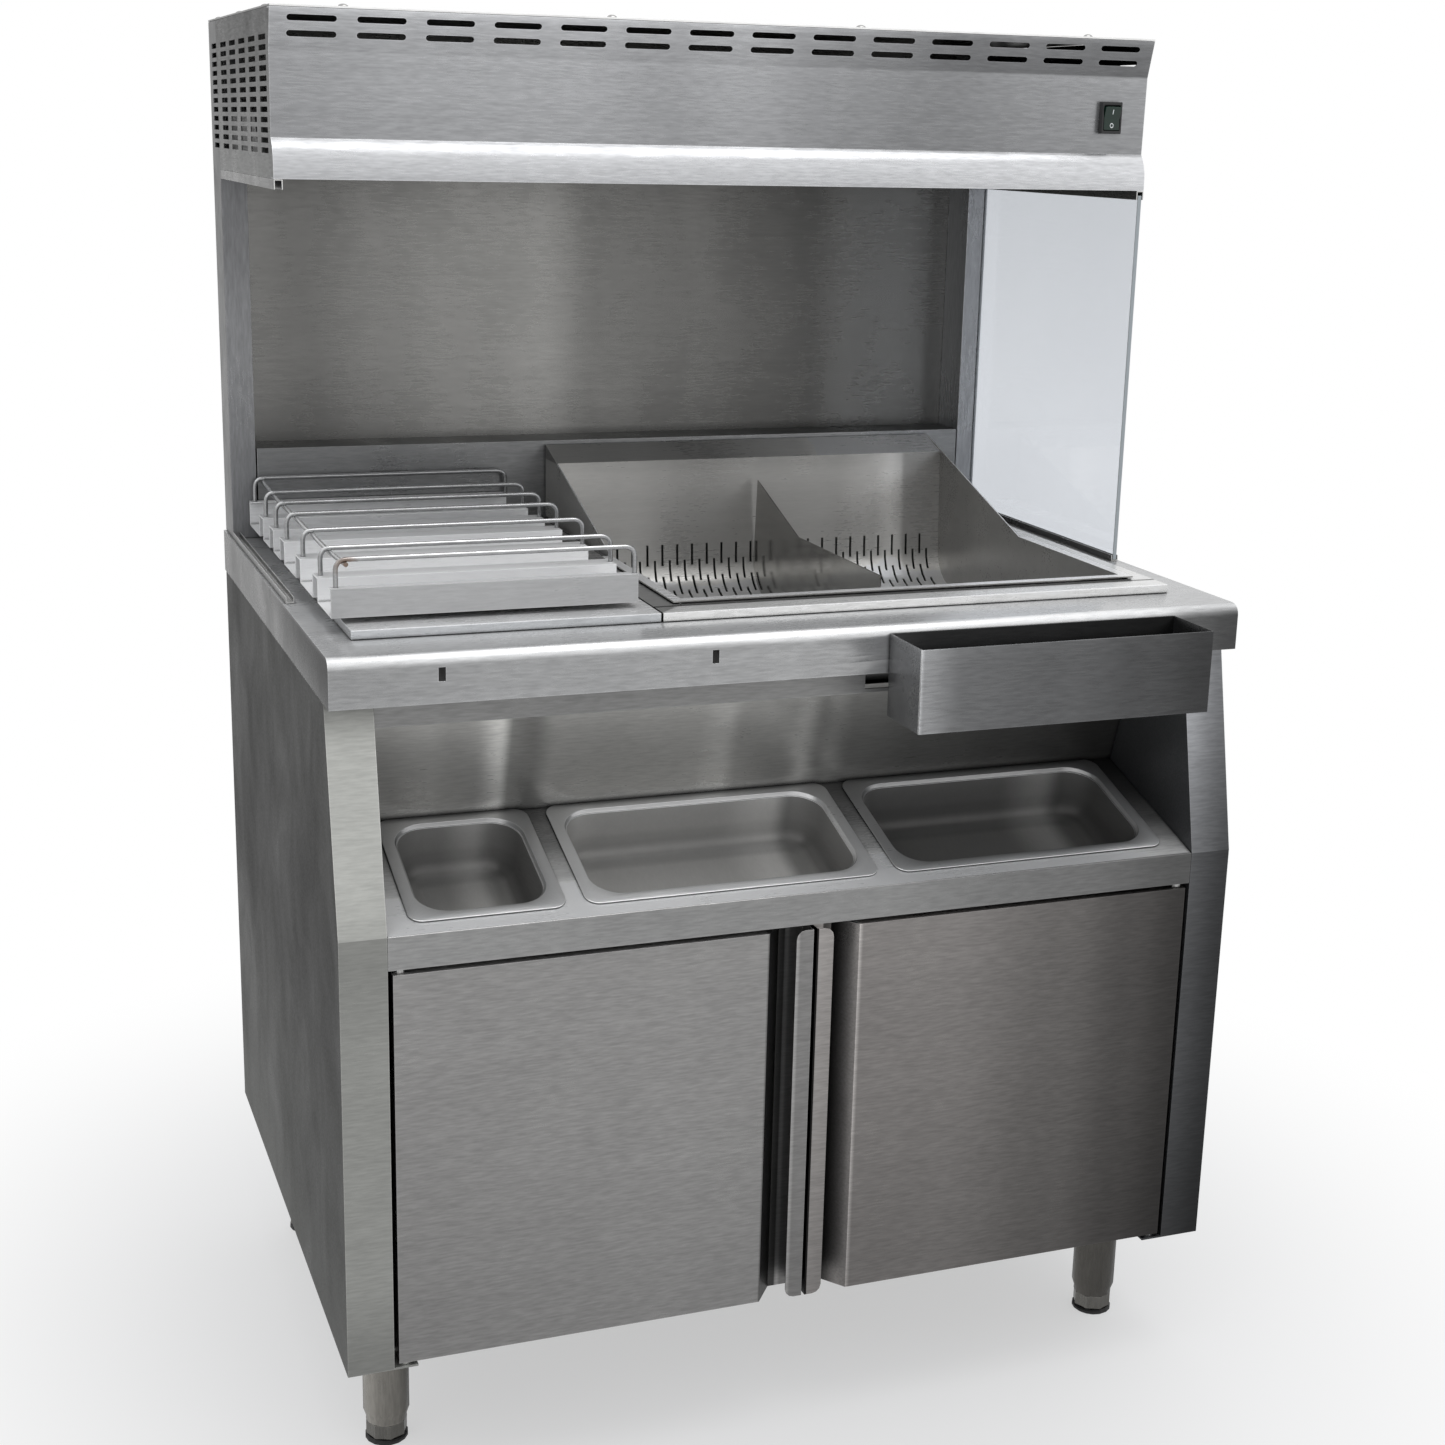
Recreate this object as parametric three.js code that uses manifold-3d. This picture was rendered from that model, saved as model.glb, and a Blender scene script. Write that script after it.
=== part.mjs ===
// French fry dump station in folded stainless steel, in millimetres.
// x runs to the right, y to the back and z up. While it is built, x is 0 in the middle, y is 0 at the
// front of the worktop and z is 0 on the floor. The finished group is moved so that its origin lies on the
// floor, under the middle of the station's box.

import * as THREE from 'three';
import { mergeVertices } from 'three/addons/utils/BufferGeometryUtils.js';
import Module from 'manifold-3d';

const wasm = await Module();
wasm.setup();

// Driving dimensions
const stationWidth = 1000;
const stationHeight = 1500;
const worktopDepth = 700;
const worktopHeight = 900;
const skirtHeight = 50;
const cabinetBottom = 152;
const cabinetRearGap = 10; // from the cabinet's back to the worktop's
const frontReach = 21; // how far the cabinet's front stands ahead of the worktop
const bendDrop = 276; // from the worktop's top to the bend in the side panels
const noseSetback = 28; // how far their top lies behind the worktop's front
const faceWidth = 48; // folded front face of a side panel
const sheet = 1.5;
const thinSheet = 1.2;
const seam = 0.3; // gap between pieces that touch
const over = 6; // overrun of every cut
const sameSpot = 0.0003; // corners closer than this are one

const halfWidth = stationWidth / 2;
const faceInner = halfWidth - faceWidth;
const skirtBottom = worktopHeight - skirtHeight;
const cabinetRear = worktopDepth - cabinetRearGap;
const bendHeight = worktopHeight - bendDrop;

// Materials
const paint = (color, roughness, metalness, extra = {}) =>
  new THREE.MeshStandardMaterial({ color, roughness, metalness, ...extra });
const brushed = () => paint(0xa9aaad, 0.38, 1);
const innerSteel = () => paint(0x6f706e, 0.45, 1);
const satin = () => paint(0xc4c5c6, 0.3, 1);
const paleSteel = () => paint(0xdadbdc, 0.35, 0.9);
const wireSteel = () => paint(0xb5b0a8, 0.25, 1);
const blackPlastic = () => paint(0x1b1c1e, 0.5, 0);
const greenPlastic = () => paint(0x0d3b24, 0.35, 0);
const paleGlass = () => paint(0xcdd6e0, 0.08, 0, { transparent: true, opacity: 0.35 });
const quartz = () => paint(0xe6e2d8, 0.2, 0);

// A closed outline pushed along an axis. An x outline holds (y, z), a y outline (x, z), a z outline (x, y).
function prism(axis, outline, from, to, holes = []) {
  const shape = new THREE.Shape(outline.map(([a, b]) => new THREE.Vector2(a, b)));
  for (const hole of holes) shape.holes.push(new THREE.Path(hole.map(([a, b]) => new THREE.Vector2(a, b))));
  const geometry = new THREE.ExtrudeGeometry(shape, { depth: to - from, bevelEnabled: false, steps: 1 });
  const turn = new THREE.Matrix4();
  if (axis === 'x') turn.set(0, 0, 1, from, 1, 0, 0, 0, 0, 1, 0, 0, 0, 0, 0, 1);
  if (axis === 'y') turn.set(1, 0, 0, 0, 0, 0, -1, to, 0, 1, 0, 0, 0, 0, 0, 1);
  if (axis === 'z') turn.makeTranslation(0, 0, from);
  return geometry.applyMatrix4(turn);
}

function rectangle(a0, a1, b0, b1) {
  return [[a0, b0], [a1, b0], [a1, b1], [a0, b1]];
}

function block(x0, x1, y0, y1, z0, z1) {
  return prism('z', rectangle(Math.min(x0, x1), Math.max(x0, x1), y0, y1), z0, z1);
}

// A rectangle with rounded corners, given by its middle, its two sides and its radius.
function roundedRectangle(middle, width, depth, radius, steps) {
  const points = [];
  const corners = [[1, 1, 0], [-1, 1, 1], [-1, -1, 2], [1, -1, 3]];
  for (const [sx, sy, quarter] of corners) {
    for (let i = 0; i <= steps; i++) {
      const angle = (quarter + i / steps) * Math.PI / 2;
      points.push([
        middle[0] + sx * (width / 2 - radius) + radius * Math.cos(angle),
        middle[1] + sy * (depth / 2 - radius) + radius * Math.sin(angle),
      ]);
    }
  }
  return points;
}

// Points on an arc, from one angle to another in degrees.
function arc(centre, radius, fromDegrees, toDegrees, steps) {
  const points = [];
  for (let i = 0; i <= steps; i++) {
    const angle = THREE.MathUtils.degToRad(fromDegrees + (toDegrees - fromDegrees) * i / steps);
    points.push([centre[0] + radius * Math.cos(angle), centre[1] + radius * Math.sin(angle)]);
  }
  return points;
}

// An open line moved to its left by a distance, with its corners kept sharp.
function movedLine(line, distance) {
  const normals = line.slice(1).map((point, i) => {
    const along = [point[0] - line[i][0], point[1] - line[i][1]];
    const length = Math.hypot(along[0], along[1]);
    return [-along[1] / length, along[0] / length];
  });
  return line.map((point, i) => {
    const before = normals[Math.max(i - 1, 0)];
    const after = normals[Math.min(i, normals.length - 1)];
    const sum = [before[0] + after[0], before[1] + after[1]];
    const reach = distance * 2 / (sum[0] * sum[0] + sum[1] * sum[1]);
    return [point[0] + sum[0] * reach, point[1] + sum[1] * reach];
  });
}

// The closed outline of a folded sheet whose thickness lies to the left of its line.
function folded(line, thickness) {
  return [...line, ...movedLine(line, thickness).reverse()];
}

function solid(geometry) {
  const bare = geometry.clone();
  bare.deleteAttribute('normal');
  bare.deleteAttribute('uv');
  const merged = mergeVertices(bare, sameSpot);
  const vertProperties = Float32Array.from(merged.attributes.position.array);
  const triVerts = Uint32Array.from(merged.index.array);
  return new wasm.Manifold(new wasm.Mesh({ numProp: 3, vertProperties, triVerts }));
}

function surface(body) {
  const found = body.getMesh();
  const geometry = new THREE.BufferGeometry();
  geometry.setAttribute('position', new THREE.BufferAttribute(Float32Array.from(found.vertProperties), 3));
  geometry.setIndex(new THREE.BufferAttribute(Uint32Array.from(found.triVerts), 1));
  geometry.computeVertexNormals();
  return geometry;
}

const joined = (...geometries) => geometries.map(solid).reduce((whole, next) => whole.add(next));
const cutBy = (body, geometries) => geometries.map(solid).reduce((left, next) => left.subtract(next), body);

const station = new THREE.Group();

function piece(name, geometry, material, parent = station) {
  const mesh = new THREE.Mesh(geometry, material);
  mesh.name = name;
  parent.add(mesh);
  return mesh;
}

// Places that several pieces share
const slotPairCentre = halfWidth / 2;
const slotPairSpacing = 280;
const slotWidth = 7;
const slotHeight = 14;
const slotDrop = 14; // from the worktop's top to the top of a hook slot
const slotTop = worktopHeight - slotDrop;
const slotBottom = slotTop - slotHeight;

const postWidth = 30;
const postDepth = 60;
const postInset = 3; // between the posts' outer faces and the worktop's ends
const postOuter = halfWidth - postInset;
const postInner = postOuter - postWidth;
const postFront = worktopDepth - postDepth;

const plateLeft = 36.5; // from the worktop's left end to the rack's base plate
const plateWidth = 320;
const plateGap = 2; // between that plate and the scuttle frame
const frameRight = 45.5; // from the scuttle frame to the worktop's right end
const frameFront = 73;
const frameRearGap = 2; // to the upstand
const frameHeight = 10;
const frameBar = 31; // width of the frame's sides
const frameRearBar = 30;
const frameWidth = stationWidth - plateLeft - plateWidth - plateGap - frameRight;
const frameCentre = halfWidth - frameRight - frameWidth / 2;
const frameRear = postFront - frameRearGap;
const wellWidth = frameWidth - frameBar * 2;
const wellFront = frameFront + frameBar;
const wellRear = frameRear - frameRearBar;
const frameTop = worktopHeight + frameHeight;

const tilt = THREE.MathUtils.degToRad(17.4);
const shelfDepth = 194.6;
const pillarDepth = 190;

const legInset = 62; // from the station's ends to the middle of the legs
const legFrontDepth = 97;
const legRearInset = 100;
const legAcross = halfWidth - legInset;
const legRearDepth = cabinetRear - legRearInset;
const legDiameter = 50.8;

const floorHeight = 20; // of the folded cabinet floor
const floorFront = 10;
const floorLift = 6; // of its lower edge over the panels' lower edge
const floorTop = cabinetBottom + floorLift + floorHeight;

const pivotInset = 13; // from the door opening's side
const pivotAcross = faceInner - pivotInset;
const pivotDepth = -12;
const pinDiameter = 6;
const pinPlay = 0.6;
const pinSides = 12;
const tabReach = 25;
const tabThickness = 2;

const shelfFaceHeight = 35;
const shelfBottom = bendHeight - shelfFaceHeight;
const doorTopGap = 5;
const doorBottom = cabinetBottom + floorLift;
const doorTop = shelfBottom - doorTopGap;

const glassThickness = 5;
const railWidth = 9;
const railFront = 255;

const canopyHeight = 167;
const canopyBottom = stationHeight - canopyHeight;
const coverThickness = 2;
const coverBottom = stationHeight - coverThickness;

// The side panels: an outer wall, a front face with its bend, an inner wall behind it, a top flange that
// carries the worktop, a rear flange that carries the back panel, and a tab for the lower door pivot.
const rearFlange = 24;
const backPanelInset = 18;
const legNotch = 60; // from the worktop's front to the notch over the leg
const backPanelFace = cabinetRear - backPanelInset;

function pinHole(across, z0, z1) {
  const hole = arc([across, pivotDepth], pinDiameter / 2 + pinPlay / 2, 0, 360, pinSides).slice(1);
  return prism('z', hole, z0 - over, z1 + over);
}

function sidePanel(side) {
  const top = skirtBottom - seam;
  const front = [[noseSetback, top], [-frontReach, bendHeight], [-frontReach, cabinetBottom]];
  const wall = [[cabinetRear, cabinetBottom], [cabinetRear, top], ...front];
  const inner = [[pillarDepth, floorTop], [pillarDepth, top - sheet], ...front, [legNotch, cabinetBottom],
    [legNotch, floorTop]];
  const along = (a, b) => [Math.min(side * a, side * b), Math.max(side * a, side * b)];
  const body = joined(
    prism('x', wall, ...along(halfWidth - sheet, halfWidth)),
    prism('x', folded(front, sheet), ...along(faceInner, halfWidth)),
    prism('x', inner, ...along(faceInner, faceInner + sheet)),
    block(...along(faceInner, halfWidth), noseSetback, cabinetRear, top - sheet, top),
    block(...along(halfWidth - rearFlange, halfWidth), backPanelFace + seam, backPanelFace + seam + sheet,
      floorTop, top),
    block(...along(faceInner - tabReach, faceInner + sheet), -frontReach, -pivotDepth, cabinetBottom,
      cabinetBottom + tabThickness),
  );
  const hole = pinHole(side * pivotAcross, cabinetBottom, cabinetBottom + tabThickness);
  return surface(cutBy(body, [hole]));
}

piece('left_side_panel', sidePanel(-1), brushed());
piece('right_side_panel', sidePanel(1), brushed());

// The cabinet floor, a folded tray that runs out behind the front pillars to both outer walls.
function cabinetFloor() {
  const wide = halfWidth - sheet - seam;
  const narrow = faceInner - seam;
  const shoulder = pillarDepth + seam;
  const rear = backPanelFace - sheet - seam;
  const outline = [[-narrow, floorFront], [narrow, floorFront], [narrow, shoulder], [wide, shoulder],
    [wide, rear], [-wide, rear], [-wide, shoulder], [-narrow, shoulder]];
  const bottom = floorTop - floorHeight;
  return surface(cutBy(solid(prism('z', outline, bottom, floorTop)), [block(-wide + sheet, wide - sheet,
    floorFront + sheet, rear - sheet, bottom - over, floorTop - sheet)]));
}

piece('cabinet_floor', cabinetFloor(), innerSteel());

// The cabinet's back panel, with the hole of the cable gland.
const glandInset = 120; // from the station's right end
const glandLift = 88; // from the cabinet's bottom
const glandAcross = halfWidth - glandInset;
const glandHeight = cabinetBottom + glandLift;
const glandThread = 20;
const glandPlay = 1;
const roundSides = 16;

function cabinetBack() {
  const holeRadius = glandThread / 2 + glandPlay / 2;
  const hole = arc([glandAcross, glandHeight], holeRadius, 0, 360, roundSides).slice(1);
  const wide = halfWidth - sheet - seam;
  const outline = rectangle(-wide, wide, cabinetBottom + floorLift, skirtBottom - sheet - seam * 2);
  return prism('y', outline, backPanelFace - sheet, backPanelFace, [hole]);
}

piece('cabinet_back_panel', cabinetBack(), innerSteel());

// The cable gland: a domed nut outside and a locknut inside, on one thread through the back panel.
const glandNutRadius = 14;
const glandNutLength = 9;
const glandDomeLength = 14;
const glandDomeRadius = 9;
const glandBore = 5;
const glandLocknutRadius = 13;
const glandLocknutLength = 5;
const glandInnerLength = 10;
const glandSides = 6;

function cableGland() {
  const out = backPanelFace + seam;
  const inside = backPanelFace - sheet - seam;
  const profile = [[glandBore, inside - glandInnerLength], [glandThread / 2, inside - glandInnerLength],
    [glandThread / 2, inside - glandLocknutLength], [glandLocknutRadius, inside - glandLocknutLength],
    [glandLocknutRadius, inside], [glandThread / 2, inside], [glandThread / 2, out], [glandNutRadius, out],
    [glandNutRadius, out + glandNutLength], [glandDomeRadius, out + glandDomeLength],
    [glandBore, out + glandDomeLength], [glandBore, inside - glandInnerLength]];
  const turned = new THREE.LatheGeometry(profile.map(([r, h]) => new THREE.Vector2(r, h)), glandSides * 2);
  return turned.applyMatrix4(new THREE.Matrix4().makeTranslation(glandAcross, 0, glandHeight));
}

piece('cable_gland', cableGland(), blackPlastic());

// The worktop: a sheet folded down on all four sides, rounded along its front, with the opening of the
// well and four slots in its front skirt for hooks.
const edgeRadius = 12;
const edgeSteps = 5;
const wellPlay = 2;
const wellFrontGap = 6; // from the well's mouth to the opening's front edge

function worktop() {
  const topArc = arc([edgeRadius, worktopHeight - edgeRadius], edgeRadius, 90, 180, edgeSteps);
  const line = [[worktopDepth, skirtBottom], [worktopDepth, worktopHeight], ...topArc, [0, skirtBottom]];
  const inner = movedLine(line, sheet);
  for (const end of [inner[0], inner.at(-1)]) end[1] = skirtBottom - over;
  const body = cutBy(solid(prism('x', line, -halfWidth, halfWidth)), [prism('x', inner, -halfWidth + sheet,
    halfWidth - sheet)]);
  const slots = [];
  for (const side of [-1, 1]) {
    for (const step of [-1, 1]) {
      const x = side * slotPairCentre + step * slotPairSpacing / 2;
      slots.push(block(x - slotWidth / 2, x + slotWidth / 2, -over, sheet + over, slotBottom, slotTop));
    }
  }
  const opening = wellWidth / 2 + sheet + wellPlay / 2;
  const well = block(frameCentre - opening, frameCentre + opening, wellFront + wellFrontGap, wellRear,
    worktopHeight - sheet - over, worktopHeight + over);
  return surface(cutBy(body, [well, ...slots]));
}

piece('worktop', worktop(), brushed());

// A folded rail behind the front skirt, with an opening in its face.
const railDrop = 28; // how far it hangs below the skirt
const railFace = 28;
const railFlange = 14;
const railOpening = [68, 158];
const railLip = 4.5;
const railOpeningHeight = 30;

function underRail() {
  const bottom = skirtBottom - railDrop;
  const top = worktopHeight - sheet - seam;
  const line = [[railFace + railFlange, top], [railFace, top], [railFace, bottom],
    [railFace + railFlange, bottom]];
  const body = solid(prism('x', folded(line, sheet), -faceInner + seam, faceInner - seam));
  const cut = block(...railOpening, railFace - over, railFace + sheet + over, bottom + railLip,
    bottom + railLip + railOpeningHeight);
  return surface(cutBy(body, [cut]));
}

piece('under_worktop_rail', underRail(), innerSteel());

// The tilted group carries the pan shelf, the recess wall and the pans: y runs up the shelf's slope.
const recess = new THREE.Group();
recess.position.set(0, -frontReach, bendHeight);
recess.rotation.x = tilt;
station.add(recess);

// The pans are gastronorm sizes, one sixth and two thirds of a full pan: across the shelf they take one,
// two and two shares of the room between the gaps.
const panLength = 176;
const panDepth = 65;
const panRim = 11;
const panStep = 3;
const panStepDepth = 4;
const panCorner = 16;
const panLeastCorner = 5.3;
const panSides = 3;
const panTaper = 5;
const panWall = 1;
const panFront = 17.8; // from the shelf's front edge to the pans' rims
const panSideGap = 26;
const panGap = 20;
const panPlay = 4;
const pans = [
  { name: 'pan_sixth_left', shares: 1 },
  { name: 'pan_third_middle', shares: 2 },
  { name: 'pan_third_right', shares: 2 },
];
const allShares = pans.reduce((sum, pan) => sum + pan.shares, 0);
const panRoom = faceInner * 2 - panSideGap * 2 - panGap * (pans.length - 1);
let panEdge = -faceInner + panSideGap;
for (const pan of pans) {
  pan.width = panRoom * pan.shares / allShares;
  pan.middle = [panEdge + pan.width / 2, panFront + panLength / 2];
  panEdge += pan.width + panGap;
}

// A surface stretched over rings of equal count, closed at both ends.
function loft(rings) {
  const count = rings[0].length;
  const positions = rings.flat(2);
  const index = [];
  for (let r = 0; r < rings.length - 1; r++) {
    for (let i = 0; i < count; i++) {
      const a = r * count + i;
      const b = r * count + (i + 1) % count;
      index.push(a, b, b + count, a, b + count, a + count);
    }
  }
  for (let i = 1; i < count - 1; i++) {
    index.push(0, i + 1, i);
    const last = (rings.length - 1) * count;
    index.push(last, last + i, last + i + 1);
  }
  const geometry = new THREE.BufferGeometry();
  geometry.setAttribute('position', new THREE.Float32BufferAttribute(positions, 3));
  geometry.setIndex(index);
  geometry.computeVertexNormals();
  return geometry;
}

function panShell(pan) {
  const ring = (inset, height) => roundedRectangle(pan.middle, pan.width - inset * 2, panLength - inset * 2,
    Math.max(panCorner - inset, panLeastCorner), panSides).map(([x, y]) => [x, y, height]);
  const rimBottom = seam;
  const rimTop = rimBottom + panWall;
  const wall = panRim + panStep;
  return loft([
    ring(wall + panTaper, rimTop - panDepth),
    ring(wall, rimBottom - panStepDepth),
    ring(panRim, rimBottom - panStepDepth + panWall),
    ring(panRim, rimBottom),
    ring(0, rimBottom),
    ring(0, rimTop + panWall),
    ring(panRim - panWall, rimTop),
    ring(panRim + panWall, rimTop - panStepDepth + panWall),
    ring(wall + panWall, rimTop - panStepDepth),
    ring(wall + panWall + panTaper, rimTop - panDepth + panWall),
  ]);
}

for (const pan of pans) piece(pan.name, panShell(pan), satin(), recess);

// The pan shelf: a tilted plate with three rounded openings, joined to an upright front face that is
// folded back below, where it takes the upper door pivots and the door catch.
const shelfReturn = 46;

function panShelf() {
  const half = faceInner - seam;
  const holes = pans.map((pan) => roundedRectangle(pan.middle, pan.width - (panRim - panPlay) * 2,
    panLength - (panRim - panPlay) * 2, panCorner / 2, panSides));
  const plate = prism('z', rectangle(-half, half, 0, shelfDepth - seam), -sheet, 0, holes);
  plate.applyMatrix4(new THREE.Matrix4().makeRotationX(tilt));
  plate.applyMatrix4(new THREE.Matrix4().makeTranslation(0, -frontReach, bendHeight));
  const line = [[-frontReach, bendHeight], [-frontReach, shelfBottom],
    [-frontReach + shelfReturn, shelfBottom]];
  const body = joined(plate, prism('x', folded(line, sheet), -half, half));
  const pinHoles = [-1, 1].map((side) => pinHole(side * pivotAcross, shelfBottom, shelfBottom + sheet));
  return surface(cutBy(body, pinHoles));
}

piece('pan_shelf', panShelf(), brushed());

// The recess's back wall, square to the shelf and just behind it.
const recessWallHeight = 128;
const recessSpan = faceInner - seam;
const recessWall = prism('z', rectangle(-recessSpan, recessSpan, shelfDepth, shelfDepth + sheet), -sheet,
  recessWallHeight);
piece('recess_back_wall', recessWall, innerSteel(), recess);

// The doors: a skin folded into a finger grip and a handle flange, capped above and below.
const doorGap = 5;
const gripEdge = 51; // half the distance between the two doors' flat fronts
const gripSlope = 21;
const doorDepth = 29;
const handleGap = 3; // half the gap between the two handle flanges
const handleWidth = 18;
const handleCorner = 10;
const handleCornerSteps = 3;
const innerSkinDrop = 2.5; // the inner skin lies this far inside the edge fold
const doorOuter = faceInner - doorGap;
const doorBack = doorDepth - frontReach;
const gripBack = doorBack - thinSheet;

function doorSkin(side) {
  const at = (x, y) => [side * x, y];
  const line = [at(doorOuter, doorBack - innerSkinDrop), at(doorOuter, -frontReach),
    at(gripEdge, -frontReach), at(gripEdge - gripSlope, gripBack), at(handleGap, gripBack),
    at(handleGap, -frontReach), at(handleGap + handleWidth, -frontReach)];
  const inward = side < 0 ? thinSheet : -thinSheet;
  const skin = solid(prism('z', folded(line, inward), doorBottom, doorTop));
  const cap = [line[0], line[1], line[2],
    at(gripEdge - gripSlope + innerSkinDrop, doorBack - innerSkinDrop)];
  const caps = [doorBottom, doorTop - thinSheet].map((z) => solid(prism('z', cap, z, z + thinSheet)));
  const corners = [];
  const free = handleGap + handleWidth;
  for (const [z, way] of [[doorBottom, 1], [doorTop, -1]]) {
    const centre = [side * (free - handleCorner), z + way * handleCorner];
    const start = side > 0 ? 0 : 180;
    const round = arc(centre, handleCorner, start, side * way > 0 ? start - 90 : start + 90,
      handleCornerSteps);
    const tip = [side * (free + over), z - way * over];
    const outline = [[side * (free + over), centre[1]], ...round, [centre[0], z - way * over], tip];
    corners.push(prism('y', outline, -frontReach - over, -frontReach + thinSheet + over));
  }
  const holes = [pinHole(side * pivotAcross, doorBottom, doorBottom + thinSheet),
    pinHole(side * pivotAcross, doorTop - thinSheet, doorTop)];
  return surface(cutBy(caps.reduce((whole, next) => whole.add(next), skin), [...corners, ...holes]));
}

function doorInner(side) {
  const xs = [side * (doorOuter - seam), side * (gripEdge - gripSlope + innerSkinDrop + seam)];
  return block(...xs, doorBack - innerSkinDrop + seam, doorBack - innerSkinDrop + seam + thinSheet,
    doorBottom, doorTop);
}

// Pivot pins: each has a collar that keeps the door clear of the tab or the shelf it turns in.
const pinCollar = 6;
const pinInside = 10;

function pivotPin(side, collarFrom, collarTo, tip, root) {
  const way = Math.sign(collarTo - collarFrom);
  const radius = pinDiameter / 2;
  const profile = [[0, tip], [radius, tip], [radius, collarFrom], [pinCollar, collarFrom],
    [pinCollar, collarTo], [radius, collarTo], [radius, root], [0, root]];
  const points = profile.map(([r, h]) => new THREE.Vector2(r, h));
  if (way < 0) points.reverse();
  const turned = new THREE.LatheGeometry(points, pinSides);
  turned.applyMatrix4(new THREE.Matrix4().makeRotationX(Math.PI / 2));
  return turned.applyMatrix4(new THREE.Matrix4().makeTranslation(side * pivotAcross, pivotDepth, 0));
}

for (const [name, side] of [['left', -1], ['right', 1]]) {
  piece(`${name}_door`, doorSkin(side), brushed());
  piece(`${name}_door_inner_skin`, doorInner(side), innerSteel());
  piece(`${name}_door_lower_pivot`, pivotPin(side, cabinetBottom + tabThickness + seam, doorBottom - seam,
    cabinetBottom, doorBottom + thinSheet + pinInside), satin());
  piece(`${name}_door_upper_pivot`, pivotPin(side, shelfBottom - seam, doorTop + seam,
    shelfBottom + sheet, doorTop - thinSheet - pinInside), satin());
}

// The magnetic door catch, under the shelf's return fold.
const catchWidth = 70;
const catchHeight = 16;
const catchDepth = 14;
const catchGap = 1.2;
const catchFront = doorBack + catchGap;
piece('door_catch', block(-catchWidth / 2, catchWidth / 2, catchFront, catchFront + catchDepth,
  shelfBottom - seam - catchHeight, shelfBottom - seam), blackPlastic());

// The legs: tubes closed above, narrowed below, each over the plug of an adjustable foot on a pad.
const legSides = 16;
const legWall = 1.5;
const collarRadius = 22.5;
const collarBottom = 24;
const coneBottom = 29;
const coneTop = 38;
const footFlat = 22.6;
const footChamfer = 1.2;
const padHeight = 6;
const padRadius = 23.4;
const padFoot = 21.5;
const padChamfer = 1.5;
const plugPlay = 0.5;
const plugTop = 66;
const footSides = 8;

function lathe(profile, sides, x, y) {
  const turned = new THREE.LatheGeometry(profile.map(([r, h]) => new THREE.Vector2(r, h)), sides);
  turned.applyMatrix4(new THREE.Matrix4().makeRotationX(Math.PI / 2));
  return turned.applyMatrix4(new THREE.Matrix4().makeTranslation(x, y, 0));
}

function legTube(x, y) {
  const outer = legDiameter / 2;
  const top = floorTop - sheet - seam;
  return lathe([[0, top - legWall], [outer - legWall, top - legWall], [outer - legWall, coneTop],
    [collarRadius - legWall, coneBottom], [collarRadius - legWall, collarBottom],
    [collarRadius, collarBottom], [collarRadius, coneBottom], [outer, coneTop], [outer, top], [0, top]],
  legSides, x, y);
}

function legFoot(x, y) {
  const bottom = padHeight + seam;
  const top = collarBottom - seam;
  const plug = (collarRadius - legWall) * Math.cos(Math.PI / legSides) - plugPlay;
  return lathe([[0, bottom], [footFlat - footChamfer, bottom], [footFlat, bottom + footChamfer],
    [footFlat, top], [plug, top], [plug, plugTop], [0, plugTop]], footSides, x, y);
}

function footPad(x, y) {
  return lathe([[0, 0], [padFoot, 0], [padRadius, padChamfer], [padRadius, padHeight - padChamfer],
    [padFoot, padHeight], [0, padHeight]], legSides, x, y);
}

for (const [row, y] of [['front', legFrontDepth], ['rear', legRearDepth]]) {
  for (const [name, side] of [['left', -1], ['right', 1]]) {
    piece(`${row}_${name}_leg`, legTube(side * legAcross, y), brushed());
    piece(`${row}_${name}_foot`, legFoot(side * legAcross, y), satin());
    piece(`${row}_${name}_foot_pad`, footPad(side * legAcross, y), blackPlastic());
  }
}

// The bin that hangs in the right pair of slots by two hooks.
const binWidth = 338;
const binDepth = 78;
const binHeight = 88;
const binDrop = 8; // below the worktop's top
const hookWidth = 5;
const hookHeight = 5;
const hookThickness = 2;
const hookDrop = 5;

function hangingBin() {
  const top = worktopHeight - binDrop;
  const bottom = top - binHeight;
  const x0 = slotPairCentre - binWidth / 2;
  const x1 = slotPairCentre + binWidth / 2;
  const front = -binDepth;
  const rear = -seam;
  const hooks = [-1, 1].map((side) => {
    const x = slotPairCentre + side * slotPairSpacing / 2;
    const hook0 = x - hookWidth / 2;
    const hook1 = x + hookWidth / 2;
    const tip = sheet + seam * 2;
    const base = slotBottom + seam;
    return joined(
      block(hook0, hook1, rear - thinSheet, tip + hookThickness, base, base + hookHeight),
      block(hook0, hook1, tip, tip + hookThickness, base - hookDrop, base + hookHeight),
    );
  });
  const box = cutBy(solid(block(x0, x1, front, rear, bottom, top)),
    [block(x0 + thinSheet, x1 - thinSheet, front + thinSheet, rear - thinSheet, bottom + thinSheet,
      top + over)]);
  return surface(hooks.reduce((whole, hook) => whole.add(hook), box));
}

piece('hanging_bin', hangingBin(), brushed());

// The raised base plate under the fry rack, a sheet with its edges folded down.
const plateX0 = plateLeft - halfWidth;
const plateX1 = plateX0 + plateWidth;

function basePlate() {
  const low = worktopHeight + seam;
  return surface(cutBy(solid(block(plateX0, plateX1, frameFront, frameRear, low, frameTop)),
    [block(plateX0 + sheet, plateX1 - sheet, frameFront + sheet, frameRear - sheet, low - over,
      frameTop - sheet)]));
}

piece('rack_base_plate', basePlate(), brushed());

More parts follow.
